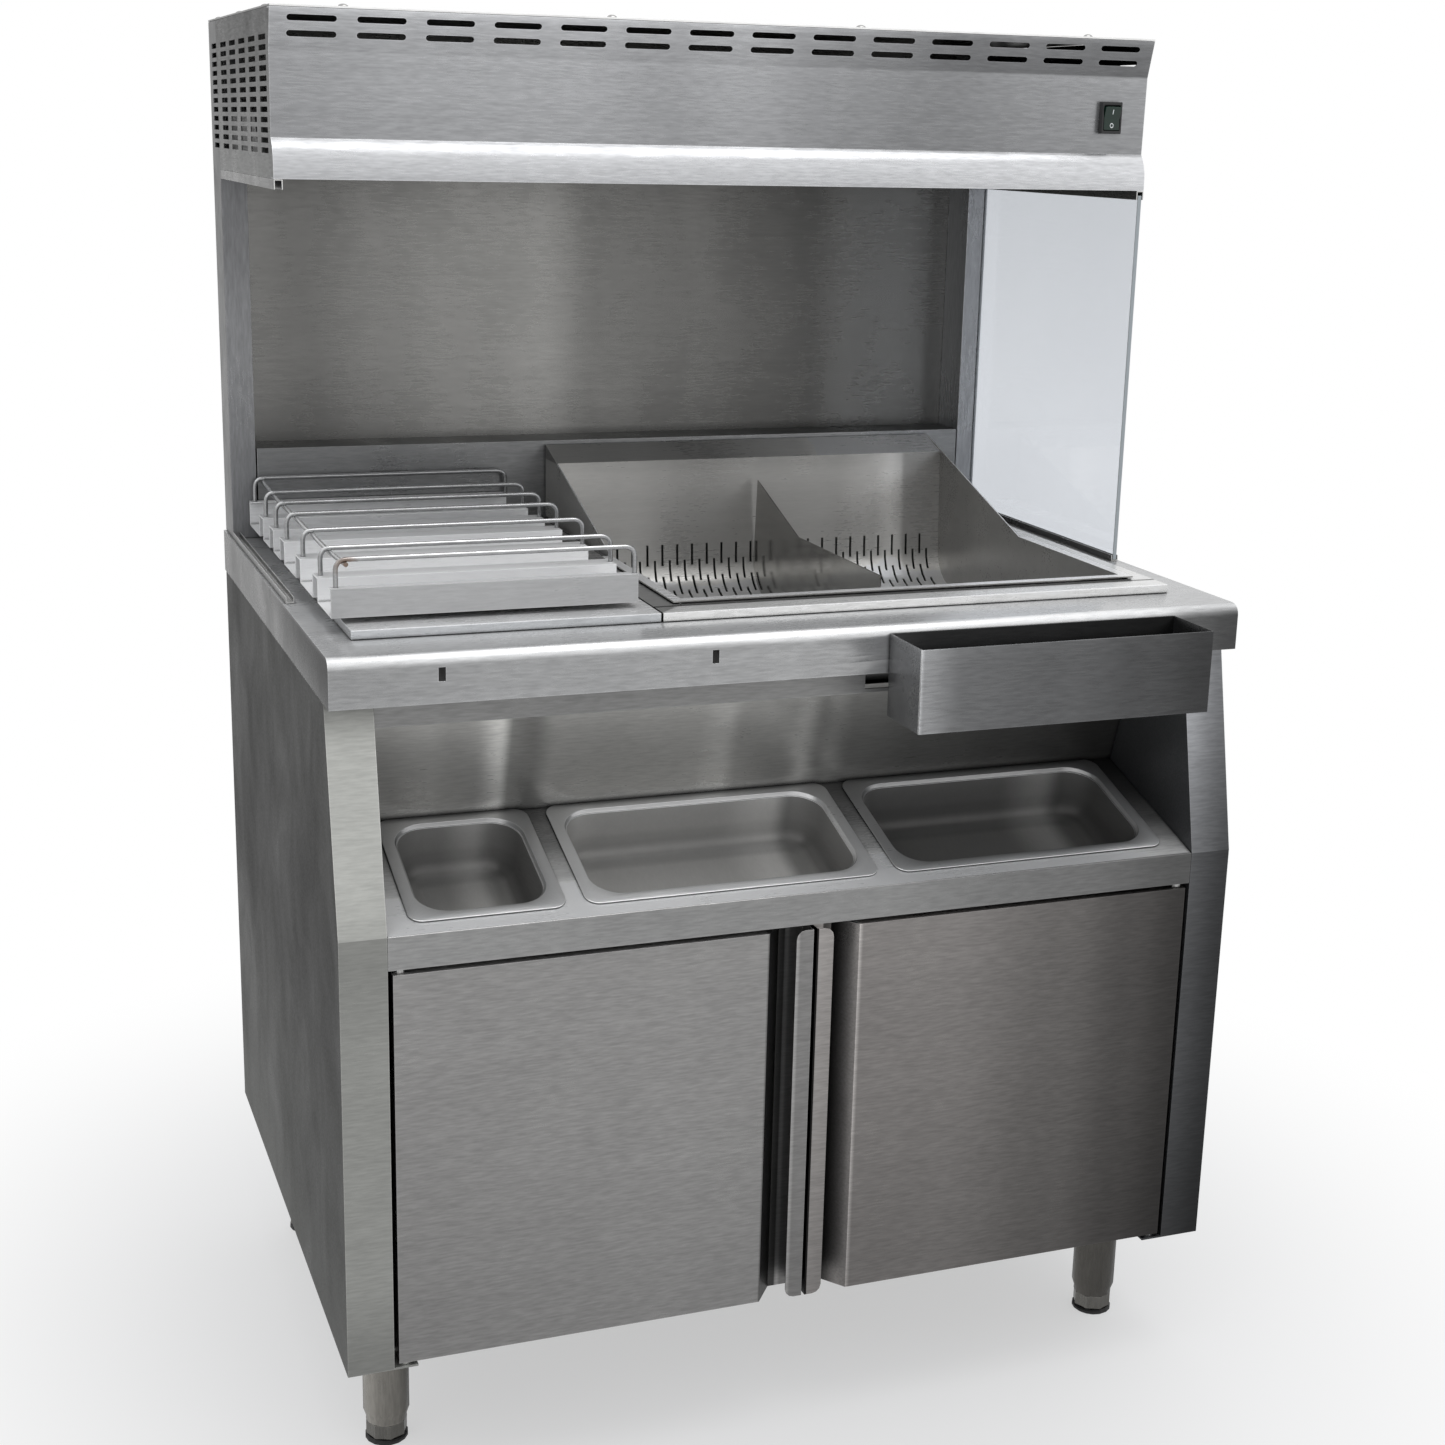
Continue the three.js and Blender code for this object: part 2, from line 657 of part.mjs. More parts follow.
// The fry rack: one sheet folded into six troughs between ridges, on two runners.
const rackLeft = 23; // from the worktop's left end
const rackLength = 318;
const rackFront = 102.5;
const rackHeight = 30;
const rackLift = 6; // of the troughs over the base plate
const ridgeDrop = 4; // from the walls' tops to the ridges' tops
const rackRearGap = 2.5; // from the rack to the rear of its base plate
const ridge = 30;
const rackFlange = 12;
const rackSheet = 1.5;
const runnerWidth = 20;
const runnerInset = 45;
const rackX0 = rackLeft - halfWidth;
const rackX1 = rackX0 + rackLength;
const rackBottom = frameTop + rackLift;
const rackTop = rackBottom + rackHeight;
const troughShares = [73, 73, 73, 44, 44, 73];
const allTroughShares = troughShares.reduce((sum, share) => sum + share, 0);
const troughRoom = frameRear - rackRearGap - rackFront - ridge * (troughShares.length - 1) - rackSheet * 2;
const troughs = troughShares.map((share) => troughRoom * share / allTroughShares);

function rackLine() {
  const line = [[rackFront + rackFlange, rackTop], [rackFront, rackTop]];
  const ridges = [[rackFront + rackFlange / 2, rackTop]];
  let y = rackFront;
  troughs.forEach((trough, i) => {
    const end = y + trough + rackSheet * 2;
    line.push([y, rackBottom], [end, rackBottom]);
    if (i === troughs.length - 1) y = end;
    else {
      y = end + ridge - rackSheet * 2;
      const top = rackTop - ridgeDrop;
      line.push([end, top - rackSheet], [y, top - rackSheet]);
      ridges.push([(end + y) / 2, top]);
    }
  });
  line.push([y, rackTop], [y - rackFlange, rackTop]);
  ridges.push([y - rackFlange / 2, rackTop]);
  return { line, ridges, rear: y };
}

function fryRack() {
  const { line, rear } = rackLine();
  const runner = (x) => block(x, x + runnerWidth, rackFront + runnerInset, rear - runnerInset,
    frameTop + seam, rackBottom + rackSheet / 2);
  return surface(joined(
    prism('x', folded(line, rackSheet), rackX0, rackX1),
    runner(rackX0 + runnerInset),
    runner(rackX1 - runnerInset - runnerWidth),
  ));
}

piece('fry_rack', fryRack(), paleSteel());

// The wire guard: a rounded loop on every ridge and wall, and one link wire welded under the loops.
const wireDiameter = 5;
const wireSides = 6;
const wireBend = 10;
const bendSteps = 3;
const loopHeight = 27.5;
const loopLeftInset = 6;
const loopRightInset = 2.5;
const linkInset = 16;
const weld = 0.4;

function heading(line, i) {
  const before = line[Math.max(i - 1, 0)];
  const after = line[Math.min(i + 1, line.length - 1)];
  const along = [after[0] - before[0], after[1] - before[1]];
  const length = Math.hypot(along[0], along[1]);
  return [along[0] / length, along[1] / length];
}

// A closed tube of a round section along a flat line, set in space by the place function.
function bentWire(line, place) {
  const rings = line.map(([a, b], i) => {
    const [alongA, alongB] = heading(line, i);
    const ring = [];
    for (let s = 0; s < wireSides; s++) {
      const angle = 2 * Math.PI * s / wireSides;
      const out = wireDiameter / 2 * Math.cos(angle);
      ring.push(place(a + alongB * out, b - alongA * out, wireDiameter / 2 * Math.sin(angle)));
    }
    return ring;
  });
  return loft(rings);
}

function loopWire([y, foot]) {
  const top = foot + seam + loopHeight;
  const left = rackX0 + loopLeftInset;
  const right = rackX1 - loopRightInset;
  const line = [[left, foot + seam],
    ...arc([left + wireBend, top - wireBend], wireBend, 180, 90, bendSteps),
    ...arc([right - wireBend, top - wireBend], wireBend, 90, 0, bendSteps), [right, foot + seam]];
  return bentWire(line, (x, z, aside) => [x, y + aside, z]);
}

function linkWire(ridges) {
  const level = seam + loopHeight - wireDiameter + weld;
  const line = ridges.map(([y, foot]) => [y, foot + level]);
  line[0][0] -= wireDiameter / 2;
  line.at(-1)[0] += wireDiameter / 2;
  return bentWire(line, (y, z, aside) => [rackX0 + linkInset - aside, y, z]);
}

function wireGuards() {
  const { ridges } = rackLine();
  return surface(joined(...ridges.map(loopWire), linkWire(ridges)));
}

piece('rack_wire_guards', wireGuards(), wireSteel());

// The scuttle frame around the well, hollow below, with a low rim inside that carries the dump tray.
const rimRise = 1.5;
const flangeRoom = 2.1; // under the inner fold, for the well's flange

function ringCut(grow, z0, z1) {
  return block(frameCentre - wellWidth / 2 - grow, frameCentre + wellWidth / 2 + grow, wellFront - grow,
    wellRear + grow, z0, z1);
}

function scuttleFrame() {
  const low = worktopHeight + seam;
  const x0 = frameCentre - frameWidth / 2;
  const x1 = frameCentre + frameWidth / 2;
  const outer = solid(block(x0, x1, frameFront, frameRear, low, frameTop)).add(
    solid(ringCut(sheet, low, frameTop + rimRise)));
  const hollow = solid(block(x0 + sheet, x1 - sheet, frameFront + sheet, frameRear - sheet, low - over,
    frameTop - sheet)).subtract(solid(ringCut(sheet, low + flangeRoom, frameTop)));
  return surface(outer.subtract(hollow).subtract(solid(ringCut(0, low - over, frameTop + over))));
}

piece('scuttle_frame', scuttleFrame(), brushed());

// The well under the dump tray: sloped in front, flat below, upright behind, with a flange that lies on
// the worktop inside the frame.
const wellDepth = 94; // below the worktop's top
const wellBottom = worktopHeight - wellDepth;
const wellSlope = 26;
const wellFlange = 9;

function wellBody() {
  const half = wellWidth / 2 + sheet;
  const flangeTop = worktopHeight + seam + sheet;
  const frontTop = wellFront + wellFrontGap + wellPlay;
  const rearTop = wellRear - wellPlay;
  const line = [[rearTop + wellFlange, flangeTop], [rearTop - sheet, flangeTop],
    [rearTop - sheet, wellBottom + sheet], [frontTop + wellSlope, wellBottom + sheet],
    [frontTop, flangeTop], [frontTop - wellFlange, flangeTop]];
  const end = [[rearTop, flangeTop], [rearTop, wellBottom], [frontTop + wellSlope, wellBottom],
    [frontTop, flangeTop]];
  const flange = (side) => block(frameCentre + side * (half - sheet),
    frameCentre + side * (half + wellFlange), frontTop - wellFlange, rearTop + wellFlange,
    flangeTop - sheet, flangeTop);
  return surface(joined(
    prism('x', folded(line, sheet), frameCentre - half, frameCentre + half),
    prism('x', end, frameCentre - half, frameCentre - half + sheet),
    prism('x', end, frameCentre + half - sheet, frameCentre + half),
    flange(-1),
    flange(1),
  ));
}

piece('scuttle_well', wellBody(), innerSteel());

// The dump tray: a perforated bottom that curves up into a leaning back, a sloped strip above it, end
// plates that rise to the back, and a lip that rests on the frame's rim.
const trayPlay = 3; // between the tray and each side of the well
const lipSeat = 7.5; // how far the lip lies on the rim
const lipFront = 110;
const lipDepth = 12;
const trayDepth = 86; // below the worktop's top
const trayFrontSlope = 20;
const trayFrontCorner = 8;
const trayCurve = 45;
const trayCurveSteps = 6;
const curveGap = 24; // from the curve's rear to the well's rear
const backGap = 16; // from the top of the tray's back to the well's rear
const backHeight = 86; // of the tray's back over the worktop
const stripHeight = 103; // of the strip's rear edge over the worktop
const stripGap = 4; // to the upstand
const endRise = 362; // where the end plates start to rise
const trayWidth = wellWidth - trayPlay * 2;
const lipWidth = wellWidth + lipSeat * 2;
const trayFloor = worktopHeight - trayDepth;
const curveRear = wellRear - curveGap;
const backTop = worktopHeight + backHeight;
const backTopDepth = wellRear - backGap;
const stripTop = worktopHeight + stripHeight;
const stripRear = postFront - stripGap;
const lipTop = frameTop + rimRise + seam + sheet;
const holeWidth = 3;
const holeLength = 27;
const holePitch = 20;
const holeRowPitch = 20.5;
const holeRows = 5;
const holeStart = 20; // from the top of the first row to the curve
const holeShift = 7.3; // of the first column beyond the side gap
const traySideGap = 12;

function trayLine() {
  const centre = [curveRear - trayCurve, trayFloor + trayCurve];
  return [[stripRear, stripTop], [backTopDepth, backTop],
    ...arc(centre, trayCurve, 0, -90, trayCurveSteps),
    [lipFront + lipDepth + trayFrontSlope + trayFrontCorner, trayFloor],
    [lipFront + lipDepth + trayFrontSlope, trayFloor + trayFrontCorner],
    [lipFront + lipDepth, lipTop], [lipFront, lipTop]];
}

// A point on the tray's line at a distance from its second corner, with the direction there.
function onTrayLine(distance) {
  const line = trayLine().slice(1);
  let left = distance;
  for (let i = 0; i < line.length - 1; i++) {
    const along = [line[i + 1][0] - line[i][0], line[i + 1][1] - line[i][1]];
    const length = Math.hypot(along[0], along[1]);
    const share = left / length;
    if (share <= 1) return { at: [line[i][0] + along[0] * share, line[i][1] + along[1] * share], along };
    left -= length;
  }
  throw new Error('the rows of holes run past the tray');
}

function trayHoles() {
  const backLength = Math.hypot(backTopDepth - curveRear, backTop - trayFloor - trayCurve);
  const half = trayWidth / 2 - traySideGap;
  const holes = [];
  for (let row = 0; row < holeRows; row++) {
    const { at, along } = onTrayLine(backLength - holeStart + holeLength / 2 + row * holeRowPitch);
    const angle = Math.atan2(along[1], along[0]);
    const shift = holeShift + row % 2 * holePitch / 2;
    for (let x = -half + shift; x <= half; x += holePitch) {
      const slot = block(-holeWidth / 2, holeWidth / 2, -holeLength / 2, holeLength / 2, -over, over);
      slot.applyMatrix4(new THREE.Matrix4().makeRotationX(angle));
      slot.applyMatrix4(new THREE.Matrix4().makeTranslation(frameCentre + x, at[0], at[1]));
      holes.push(slot);
    }
  }
  return holes;
}

function dumpTray() {
  const half = trayWidth / 2;
  const line = trayLine();
  const x0 = frameCentre - half;
  const x1 = frameCentre + half;
  const shell = cutBy(solid(prism('x', folded(line, sheet), x0, x1)), trayHoles());
  const lowRear = lipTop + seam;
  const end = [line[0], [stripRear, lowRear], [backTopDepth, lowRear],
    ...movedLine(line, sheet).slice(2, -2), [lipFront + lipDepth, lipTop], [endRise, lipTop]];
  const lip = [frameCentre - lipWidth / 2, frameCentre + lipWidth / 2];
  const parts = joined(
    prism('x', end, x0, x0 + sheet),
    prism('x', end, x1 - sheet, x1),
    block(...lip, lipFront, lipFront + lipDepth, lipTop - sheet, lipTop),
    block(lip[0], x0 + sheet, lipFront, endRise, lipTop - sheet, lipTop),
    block(x1 - sheet, lip[1], lipFront, endRise, lipTop - sheet, lipTop),
  );
  return surface(shell.add(parts));
}

piece('dump_tray', dumpTray(), brushed());

// The divider plate that stands in the dump tray, shaped to its curve.
const dividerFront = 192;
const dividerLift = 11; // of its front edge over the worktop
const dividerRearLift = 59; // of its rear corner
const dividerSlope = 140; // depth of its rising edge
const dividerRearGap = 7; // from that corner to the curve's rear
const dividerTop = worktopHeight + dividerLift;
const dividerHigh = worktopHeight + dividerRearLift;
const dividerHighDepth = curveRear - dividerRearGap;
const dividerRise = dividerHighDepth - dividerSlope;

function dividerPlate() {
  const centre = [curveRear - trayCurve, trayFloor + trayCurve];
  const outline = [[dividerFront, dividerTop], [dividerRise, dividerTop], [dividerHighDepth, dividerHigh],
    ...arc(centre, trayCurve - seam, 0, -90, trayCurveSteps), [dividerFront, trayFloor + seam]];
  return prism('x', outline, frameCentre - sheet / 2, frameCentre + sheet / 2);
}

piece('tray_divider', dividerPlate(), brushed());

// The upstand behind the rack and the tray, with a ledge that runs back to the rear panel.
const upstandHeight = 108;
const upstandGap = 1.5;
const rearPanelFace = worktopDepth - sheet;

function upstand() {
  const top = worktopHeight + upstandHeight;
  const line = [[rearPanelFace - seam, top], [postFront, top], [postFront, worktopHeight + seam]];
  return prism('x', folded(line, sheet), -postInner + upstandGap, postInner - upstandGap);
}

piece('rear_upstand', upstand(), brushed());

const rearPanelTop = coverBottom - seam;
piece('rear_panel', block(-postOuter, postOuter, rearPanelFace, worktopDepth, worktopHeight + seam,
  rearPanelTop), innerSteel());

// Rows of small vents in the sides of the canopy; the rearmost column lies in the posts.
const ventHeight = 5.5;
const ventRowPitch = 10;
const ventRows = 12;
const ventColumns = 5;
const ventWeb = 25; // between two columns
const ventFrontInset = 26.5; // from the side channels' front to the first column
const ventRearInset = 33.5; // from the last column to the posts
const postVentInset = 16; // from the posts' front to the middle of their column
const ventDrop = 30; // from the station's top to the first row
const ventRoom = postFront - ventRearInset - railFront - ventFrontInset;
const ventLength = (ventRoom - ventWeb * (ventColumns - 1)) / ventColumns;
const ventColumnPitch = ventLength + ventWeb;
const ventFirstColumn = railFront + ventFrontInset + ventLength / 2;
const postVent = postFront + postVentInset;
const ventTopRow = stationHeight - ventDrop;

function ventColumn(middle, make) {
  const vents = [];
  for (let row = 0; row < ventRows; row++) {
    const z = ventTopRow - row * ventRowPitch;
    vents.push(make(middle - ventLength / 2, middle + ventLength / 2, z - ventHeight / 2,
      z + ventHeight / 2));
  }
  return vents;
}

// The posts: upright channels, open to the back, from the worktop to the canopy's cover.
function post(side) {
  const rear = rearPanelFace - seam;
  const outline = [[postOuter, rear], [postOuter, postFront], [postInner, postFront], [postInner, rear]]
    .map(([x, y]) => [side * x, y]);
  const line = folded(outline, side < 0 ? sheet : -sheet);
  const body = solid(prism('z', line, worktopHeight + seam, rearPanelTop));
  const vents = ventColumn(postVent, (y0, y1, z0, z1) =>
    block(side * (postOuter - sheet - over), side * (postOuter + over), y0, y1, z0, z1));
  return surface(cutBy(body, vents));
}

piece('left_post', post(-1), brushed());
piece('right_post', post(1), brushed());

// The canopy's hood: one sheet with a leaning vent band, a flat front and a bulging lower edge.
const hoodFront = 253;
const bandDrop = 42; // from the station's top to the foot of the vent band
const faceDrop = 127; // and to the foot of the flat front
const bandBottom = [264, stationHeight - bandDrop];
const faceBottom = [266, stationHeight - faceDrop];
const noseFront = 255;
const noseRadius = 40;
const noseSteps = 5;
const hoodFold = 14;
const slotGap = 6; // height of a vent slot
const slotEndSteps = 4;
const slotEndGap = 17; // from the hood's ends to the first vent slot
const slotColumns = 14;
const slotRowDrops = [12, 27]; // from the station's top
const slotWeb = 20; // between two slots of a row
const slotRoom = (postOuter - slotEndGap) * 2 - slotWeb * (slotColumns - 1);
const slotLength = slotRoom / slotColumns;
const slotPitch = slotLength + slotWeb;

function noseArc() {
  const drop = faceBottom[0] - noseFront;
  const sweep = THREE.MathUtils.radToDeg(Math.acos(1 - drop / noseRadius));
  const foot = faceBottom[1] - noseRadius * Math.sin(THREE.MathUtils.degToRad(sweep));
  return arc([noseFront + noseRadius, foot], noseRadius, 180 - sweep, 180, noseSteps);
}

function hoodLine() {
  const top = coverBottom - seam;
  return [[hoodFront + hoodFold, top], [hoodFront, top], bandBottom, ...noseArc(),
    [noseFront, canopyBottom], [noseFront + hoodFold, canopyBottom]];
}

const switchInset = 49.5; // from the station's right end
const switchDrop = 87; // from its top
const switchAcross = halfWidth - switchInset;
const switchHeight = stationHeight - switchDrop;
const switchWidth = 25;
const switchTall = 35;
const switchReach = 9;
const switchBackWidth = 22;
const switchBackTall = 29;
const switchBackDepth = 24;
const switchPlay = 0.5;

function roundSlot(x, z) {
  const radius = slotGap / 2;
  const half = slotLength / 2 - radius;
  return [...arc([x + half, z], radius, -90, 90, slotEndSteps), ...arc([x - half, z], radius, 90, 270,
    slotEndSteps)];
}

function canopyHood() {
  const body = solid(prism('x', folded(hoodLine(), sheet), -postOuter, postOuter));
  const cuts = [];
  for (const drop of slotRowDrops) {
    for (let column = 0; column < slotColumns; column++) {
      const x = (column - (slotColumns - 1) / 2) * slotPitch;
      cuts.push(prism('y', roundSlot(x, stationHeight - drop), hoodFront - over,
        hoodFront + hoodFold + over));
    }
  }
  const wide = switchBackWidth / 2 + switchPlay;
  const tall = switchBackTall / 2 + switchPlay;
  cuts.push(block(switchAcross - wide, switchAcross + wide, hoodFront - over, faceBottom[0] + over,
    switchHeight - tall, switchHeight + tall));
  return surface(cutBy(body, cuts));
}

piece('canopy_hood', canopyHood(), brushed());

// The canopy's end panels, behind the hood and in front of the posts.
function canopyEnd(side) {
  const inner = movedLine(hoodLine(), sheet + seam).slice(1, -1);
  const top = coverBottom - seam;
  const rear = postFront - seam;
  const outline = [...inner, [noseFront + hoodFold + seam, inner.at(-1)[1]],
    [noseFront + hoodFold + seam, canopyBottom], [rear, canopyBottom], [rear, top],
    [hoodFront + hoodFold + seam, top], [hoodFront + hoodFold + seam, inner[0][1]]];
  const xs = [side * postOuter, side * (postOuter - sheet)].sort((a, b) => a - b);
  const vents = [];
  for (let column = 0; column < ventColumns; column++) {
    const middle = ventFirstColumn + column * ventColumnPitch;
    vents.push(...ventColumn(middle,
      (y0, y1, z0, z1) => block(xs[0] - over, xs[1] + over, y0, y1, z0, z1)));
  }
  return surface(cutBy(solid(prism('x', outline, ...xs)), vents));
}

piece('canopy_left_end', canopyEnd(-1), brushed());
piece('canopy_right_end', canopyEnd(1), brushed());

const coverFront = 252;
const cover = block(-postOuter, postOuter, coverFront, worktopDepth, coverBottom, stationHeight);
piece('canopy_top_cover', cover, brushed());

// The canopy's base: flat edges and a raised reflector channel, with two holders for the heater tubes.
const baseRearGap = 10; // to the posts
const channelFrontInset = 95; // from the side channels' front to the channel's mouth
const channelRearInset = 70; // from that mouth to the posts
const channelSlope = 35;
const channelHeight = 62;
const holderInset = 120; // from the station's ends
const holderHeight = 40;
const tubeInset = 30; // from the channel's upper corners
const baseRear = postFront - baseRearGap;
const channelMouth = [railFront + channelFrontInset, postFront - channelRearInset];
const channelTop = [channelMouth[0] + channelSlope, channelMouth[1] - channelSlope];
const holderAcross = halfWidth - holderInset;
const tubeDepths = [channelTop[0] + tubeInset, channelTop[1] - tubeInset];
const tubeDiameter = 14;
const tubeDrop = 32; // below the channel's top
const tubeEnd = 20; // beyond each holder
const tubePlay = 0.3;
const tubeSides = 12;

function canopyBase() {
  const wide = postOuter - sheet - seam;
  const low = canopyBottom;
  const high = low + channelHeight;
  const front = noseFront + hoodFold + seam * 2;
  const line = [[front, low], [channelMouth[0], low], [channelTop[0], high], [channelTop[1], high],
    [channelMouth[1], low], [baseRear, low]];
  const holder = (x) => {
    const holes = tubeDepths.map((y) => arc([y, high - tubeDrop], tubeDiameter / 2 + tubePlay, 0, 360,
      tubeSides).slice(1));
    const z = high - holderHeight;
    const lean = channelSlope * holderHeight / channelHeight;
    const root = sheet / 2;
    const outline = [[channelTop[0] - lean - root, z], [channelTop[1] + lean + root, z],
      [channelTop[1] + root, high + root], [channelTop[0] - root, high + root]];
    return prism('x', outline, x - sheet / 2, x + sheet / 2, holes);
  };
  return surface(joined(
    prism('x', folded(line, sheet), -wide, wide),
    holder(-holderAcross),
    holder(holderAcross),
  ));
}

piece('canopy_base', canopyBase(), satin());

function heaterTube(y) {
  const long = holderAcross + tubeEnd;
  const z = canopyBottom + channelHeight - tubeDrop;
  const outline = arc([y, z], tubeDiameter / 2, 0, 360, tubeSides).slice(1);
  return prism('x', outline, -long, long);
}

piece('front_heater_tube', heaterTube(tubeDepths[0]), quartz());
piece('rear_heater_tube', heaterTube(tubeDepths[1]), quartz());

// The guard under the heater tubes: a flat grid of rods seated in the channel's mouth.
const rodWidth = 4;
const guardLift = 8;
const guardColumns = 8;
const guardRows = 3;
const guardEndGap = 2; // to each holder
const guardSpan = (holderAcross - guardEndGap) * 2;

function heaterGuard() {
  const z = canopyBottom + guardLift;
  const lean = channelSlope / channelHeight;
  const edge = seam * Math.hypot(1, lean) + lean * (guardLift + rodWidth);
  const y0 = channelMouth[0] + edge;
  const columnPitch = (guardSpan - rodWidth) / guardColumns;
  const rowPitch = (channelMouth[1] - channelMouth[0] - edge * 2 - rodWidth) / guardRows;
  const gaps = [];
  for (let i = 0; i < guardColumns; i++) {
    for (let j = 0; j < guardRows; j++) {
      const x = i * columnPitch - guardSpan / 2;
      const y = y0 + j * rowPitch;
      gaps.push(block(x + rodWidth, x + columnPitch, y + rodWidth, y + rowPitch, z - over,
        z + rodWidth + over));
    }
  }
  return surface(cutBy(solid(block(-guardSpan / 2, guardSpan / 2, y0, channelMouth[1] - edge, z,
    z + rodWidth)), gaps));
}

piece('heater_guard', heaterGuard(), wireSteel());

// The power switch: a housing through the hood's face, and a rocker that tips about a cross axis.
const rockerWidth = 20;
const rockerTall = 27;
const rockerPlay = 0.6;
const rockerPocket = 7;
const rockerPivot = 4; // behind the housing's front
const rockerTip = 3.5; // the raised end's reach ahead of the housing
const rockerRest = THREE.MathUtils.degToRad(7);
const switchFace = faceBottom[0] - switchReach;

function bandDepth(z) {
  const share = (bandBottom[1] - z) / (bandBottom[1] - faceBottom[1]);
  return bandBottom[0] + (faceBottom[0] - bandBottom[0]) * share;
}

function switchHousing() {
  const wide = switchWidth / 2;
  const tall = switchTall / 2;
  const seat = bandDepth(switchHeight + tall) - seam;
  const body = joined(
    block(switchAcross - wide, switchAcross + wide, switchFace, seat, switchHeight - tall,
      switchHeight + tall),
    block(switchAcross - switchBackWidth / 2, switchAcross + switchBackWidth / 2, switchFace,
      seat + switchBackDepth, switchHeight - switchBackTall / 2, switchHeight + switchBackTall / 2),
  );
  const pocketWide = rockerWidth / 2 + rockerPlay;
  const pocketTall = rockerTall / 2 + rockerPlay;
  const pocket = block(switchAcross - pocketWide, switchAcross + pocketWide, switchFace - over,
    switchFace + rockerPocket, switchHeight - pocketTall, switchHeight + pocketTall);
  return surface(cutBy(body, [pocket]));
}

piece('switch_housing', switchHousing(), blackPlastic());

function rocker() {
  const tall = rockerTall / 2 - rockerPlay;
  const reach = rockerPivot + rockerTip;
  const dip = reach * Math.cos(rockerRest) - tall * Math.sin(rockerRest);
  const back = rockerPocket - rockerPivot - tall * Math.sin(rockerRest) - seam;
  const outline = [[-dip, tall], [-rockerPivot, 0], [-dip, -tall], [back, -tall], [back, tall]];
  const shape = prism('x', outline, -rockerWidth / 2, rockerWidth / 2);
  return shape;
}

const rockerMesh = piece('switch_rocker', rocker(), greenPlastic());
rockerMesh.position.set(switchAcross, switchFace + rockerPivot, switchHeight);
rockerMesh.rotation.x = rockerRest;

// The glass channels: one on each end of the worktop and one under each end of the canopy.
const lowerRailHeight = 7;
const upperRailHeight = 10;
const railRear = postFront - seam;

function glassRail(side, floor, opening) {
  const outer = postOuter;
  const line = [[outer, opening], [outer, floor], [outer - railWidth, floor], [outer - railWidth, opening]]
    .map(([x, z]) => [side * x, z]);
  const inward = side * Math.sign(opening - floor) > 0 ? -thinSheet : thinSheet;
  return prism('y', folded(line, inward), railFront, railRear);
}

const lowerFloor = worktopHeight + seam;
const upperFloor = canopyBottom - seam;
for (const [name, side] of [['left', -1], ['right', 1]]) {
  piece(`${name}_lower_glass_rail`, glassRail(side, lowerFloor, lowerFloor + lowerRailHeight), brushed());
  piece(`${name}_upper_glass_rail`, glassRail(side, upperFloor, upperFloor - upperRailHeight), brushed());
}

// The right glass pane, which slides out to the front.
const glassHeadroom = 4;
const glassMiddle = postOuter - railWidth / 2;
piece('right_side_glass', block(glassMiddle - glassThickness / 2, glassMiddle + glassThickness / 2,
  railFront, railRear - seam, lowerFloor + thinSheet + seam, upperFloor - thinSheet - glassHeadroom),
paleGlass());

// The origin goes under the middle of the box that the bin's front and the worktop's rear limit.
station.position.set(0, (binDepth - worktopDepth) / 2, 0);

export default station;
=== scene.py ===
import math

import bmesh
import bpy
from mathutils import Matrix, Vector


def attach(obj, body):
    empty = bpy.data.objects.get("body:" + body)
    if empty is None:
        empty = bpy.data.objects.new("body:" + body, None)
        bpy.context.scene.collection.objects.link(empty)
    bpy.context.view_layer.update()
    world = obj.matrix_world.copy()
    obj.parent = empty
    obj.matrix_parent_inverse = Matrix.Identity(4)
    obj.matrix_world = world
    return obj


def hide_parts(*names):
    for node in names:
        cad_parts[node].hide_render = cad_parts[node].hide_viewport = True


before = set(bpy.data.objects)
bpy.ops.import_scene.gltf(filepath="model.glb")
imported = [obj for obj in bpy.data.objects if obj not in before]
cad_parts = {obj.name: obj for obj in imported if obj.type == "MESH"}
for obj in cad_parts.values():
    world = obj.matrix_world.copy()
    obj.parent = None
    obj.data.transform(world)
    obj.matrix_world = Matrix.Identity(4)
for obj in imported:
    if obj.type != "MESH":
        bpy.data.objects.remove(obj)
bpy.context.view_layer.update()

# Camera. It stands to the left of the station and above the worktop, turned a little to the right and
# tipped down, at the place where the station's edges fall on those in the photograph.
sensor_width = 36  # millimetres
photo_side = 1445  # pixels, as are the next three
focal_length = 2174.463
centre_across = 716.272
centre_down = 701.550
eye = Vector((-0.85078, -2.29884, 1.39140))
heading, dip, roll = 0.35729, 0.25759, 0.02304
ahead = Vector((math.sin(heading) * math.cos(dip), math.cos(heading) * math.cos(dip), -math.sin(dip)))
level = Vector((math.cos(heading), -math.sin(heading), 0))
above = level.cross(ahead)
across = level * math.cos(roll) + above * math.sin(roll)
upward = above * math.cos(roll) - level * math.sin(roll)
camera_data = bpy.data.cameras.new("camera")
camera_data.sensor_width = sensor_width
camera_data.lens = focal_length * sensor_width / photo_side
camera_data.shift_x = (photo_side / 2 - centre_across) / photo_side
camera_data.shift_y = (centre_down - photo_side / 2) / photo_side
camera_data.clip_end = 200
camera = bpy.data.objects.new("camera", camera_data)
bpy.context.scene.collection.objects.link(camera)
turn = Matrix((across, upward, -ahead)).transposed()
camera.matrix_world = Matrix.Translation(eye) @ turn.to_4x4()
bpy.context.scene.camera = camera
bpy.context.scene.view_settings.view_transform = "Standard"


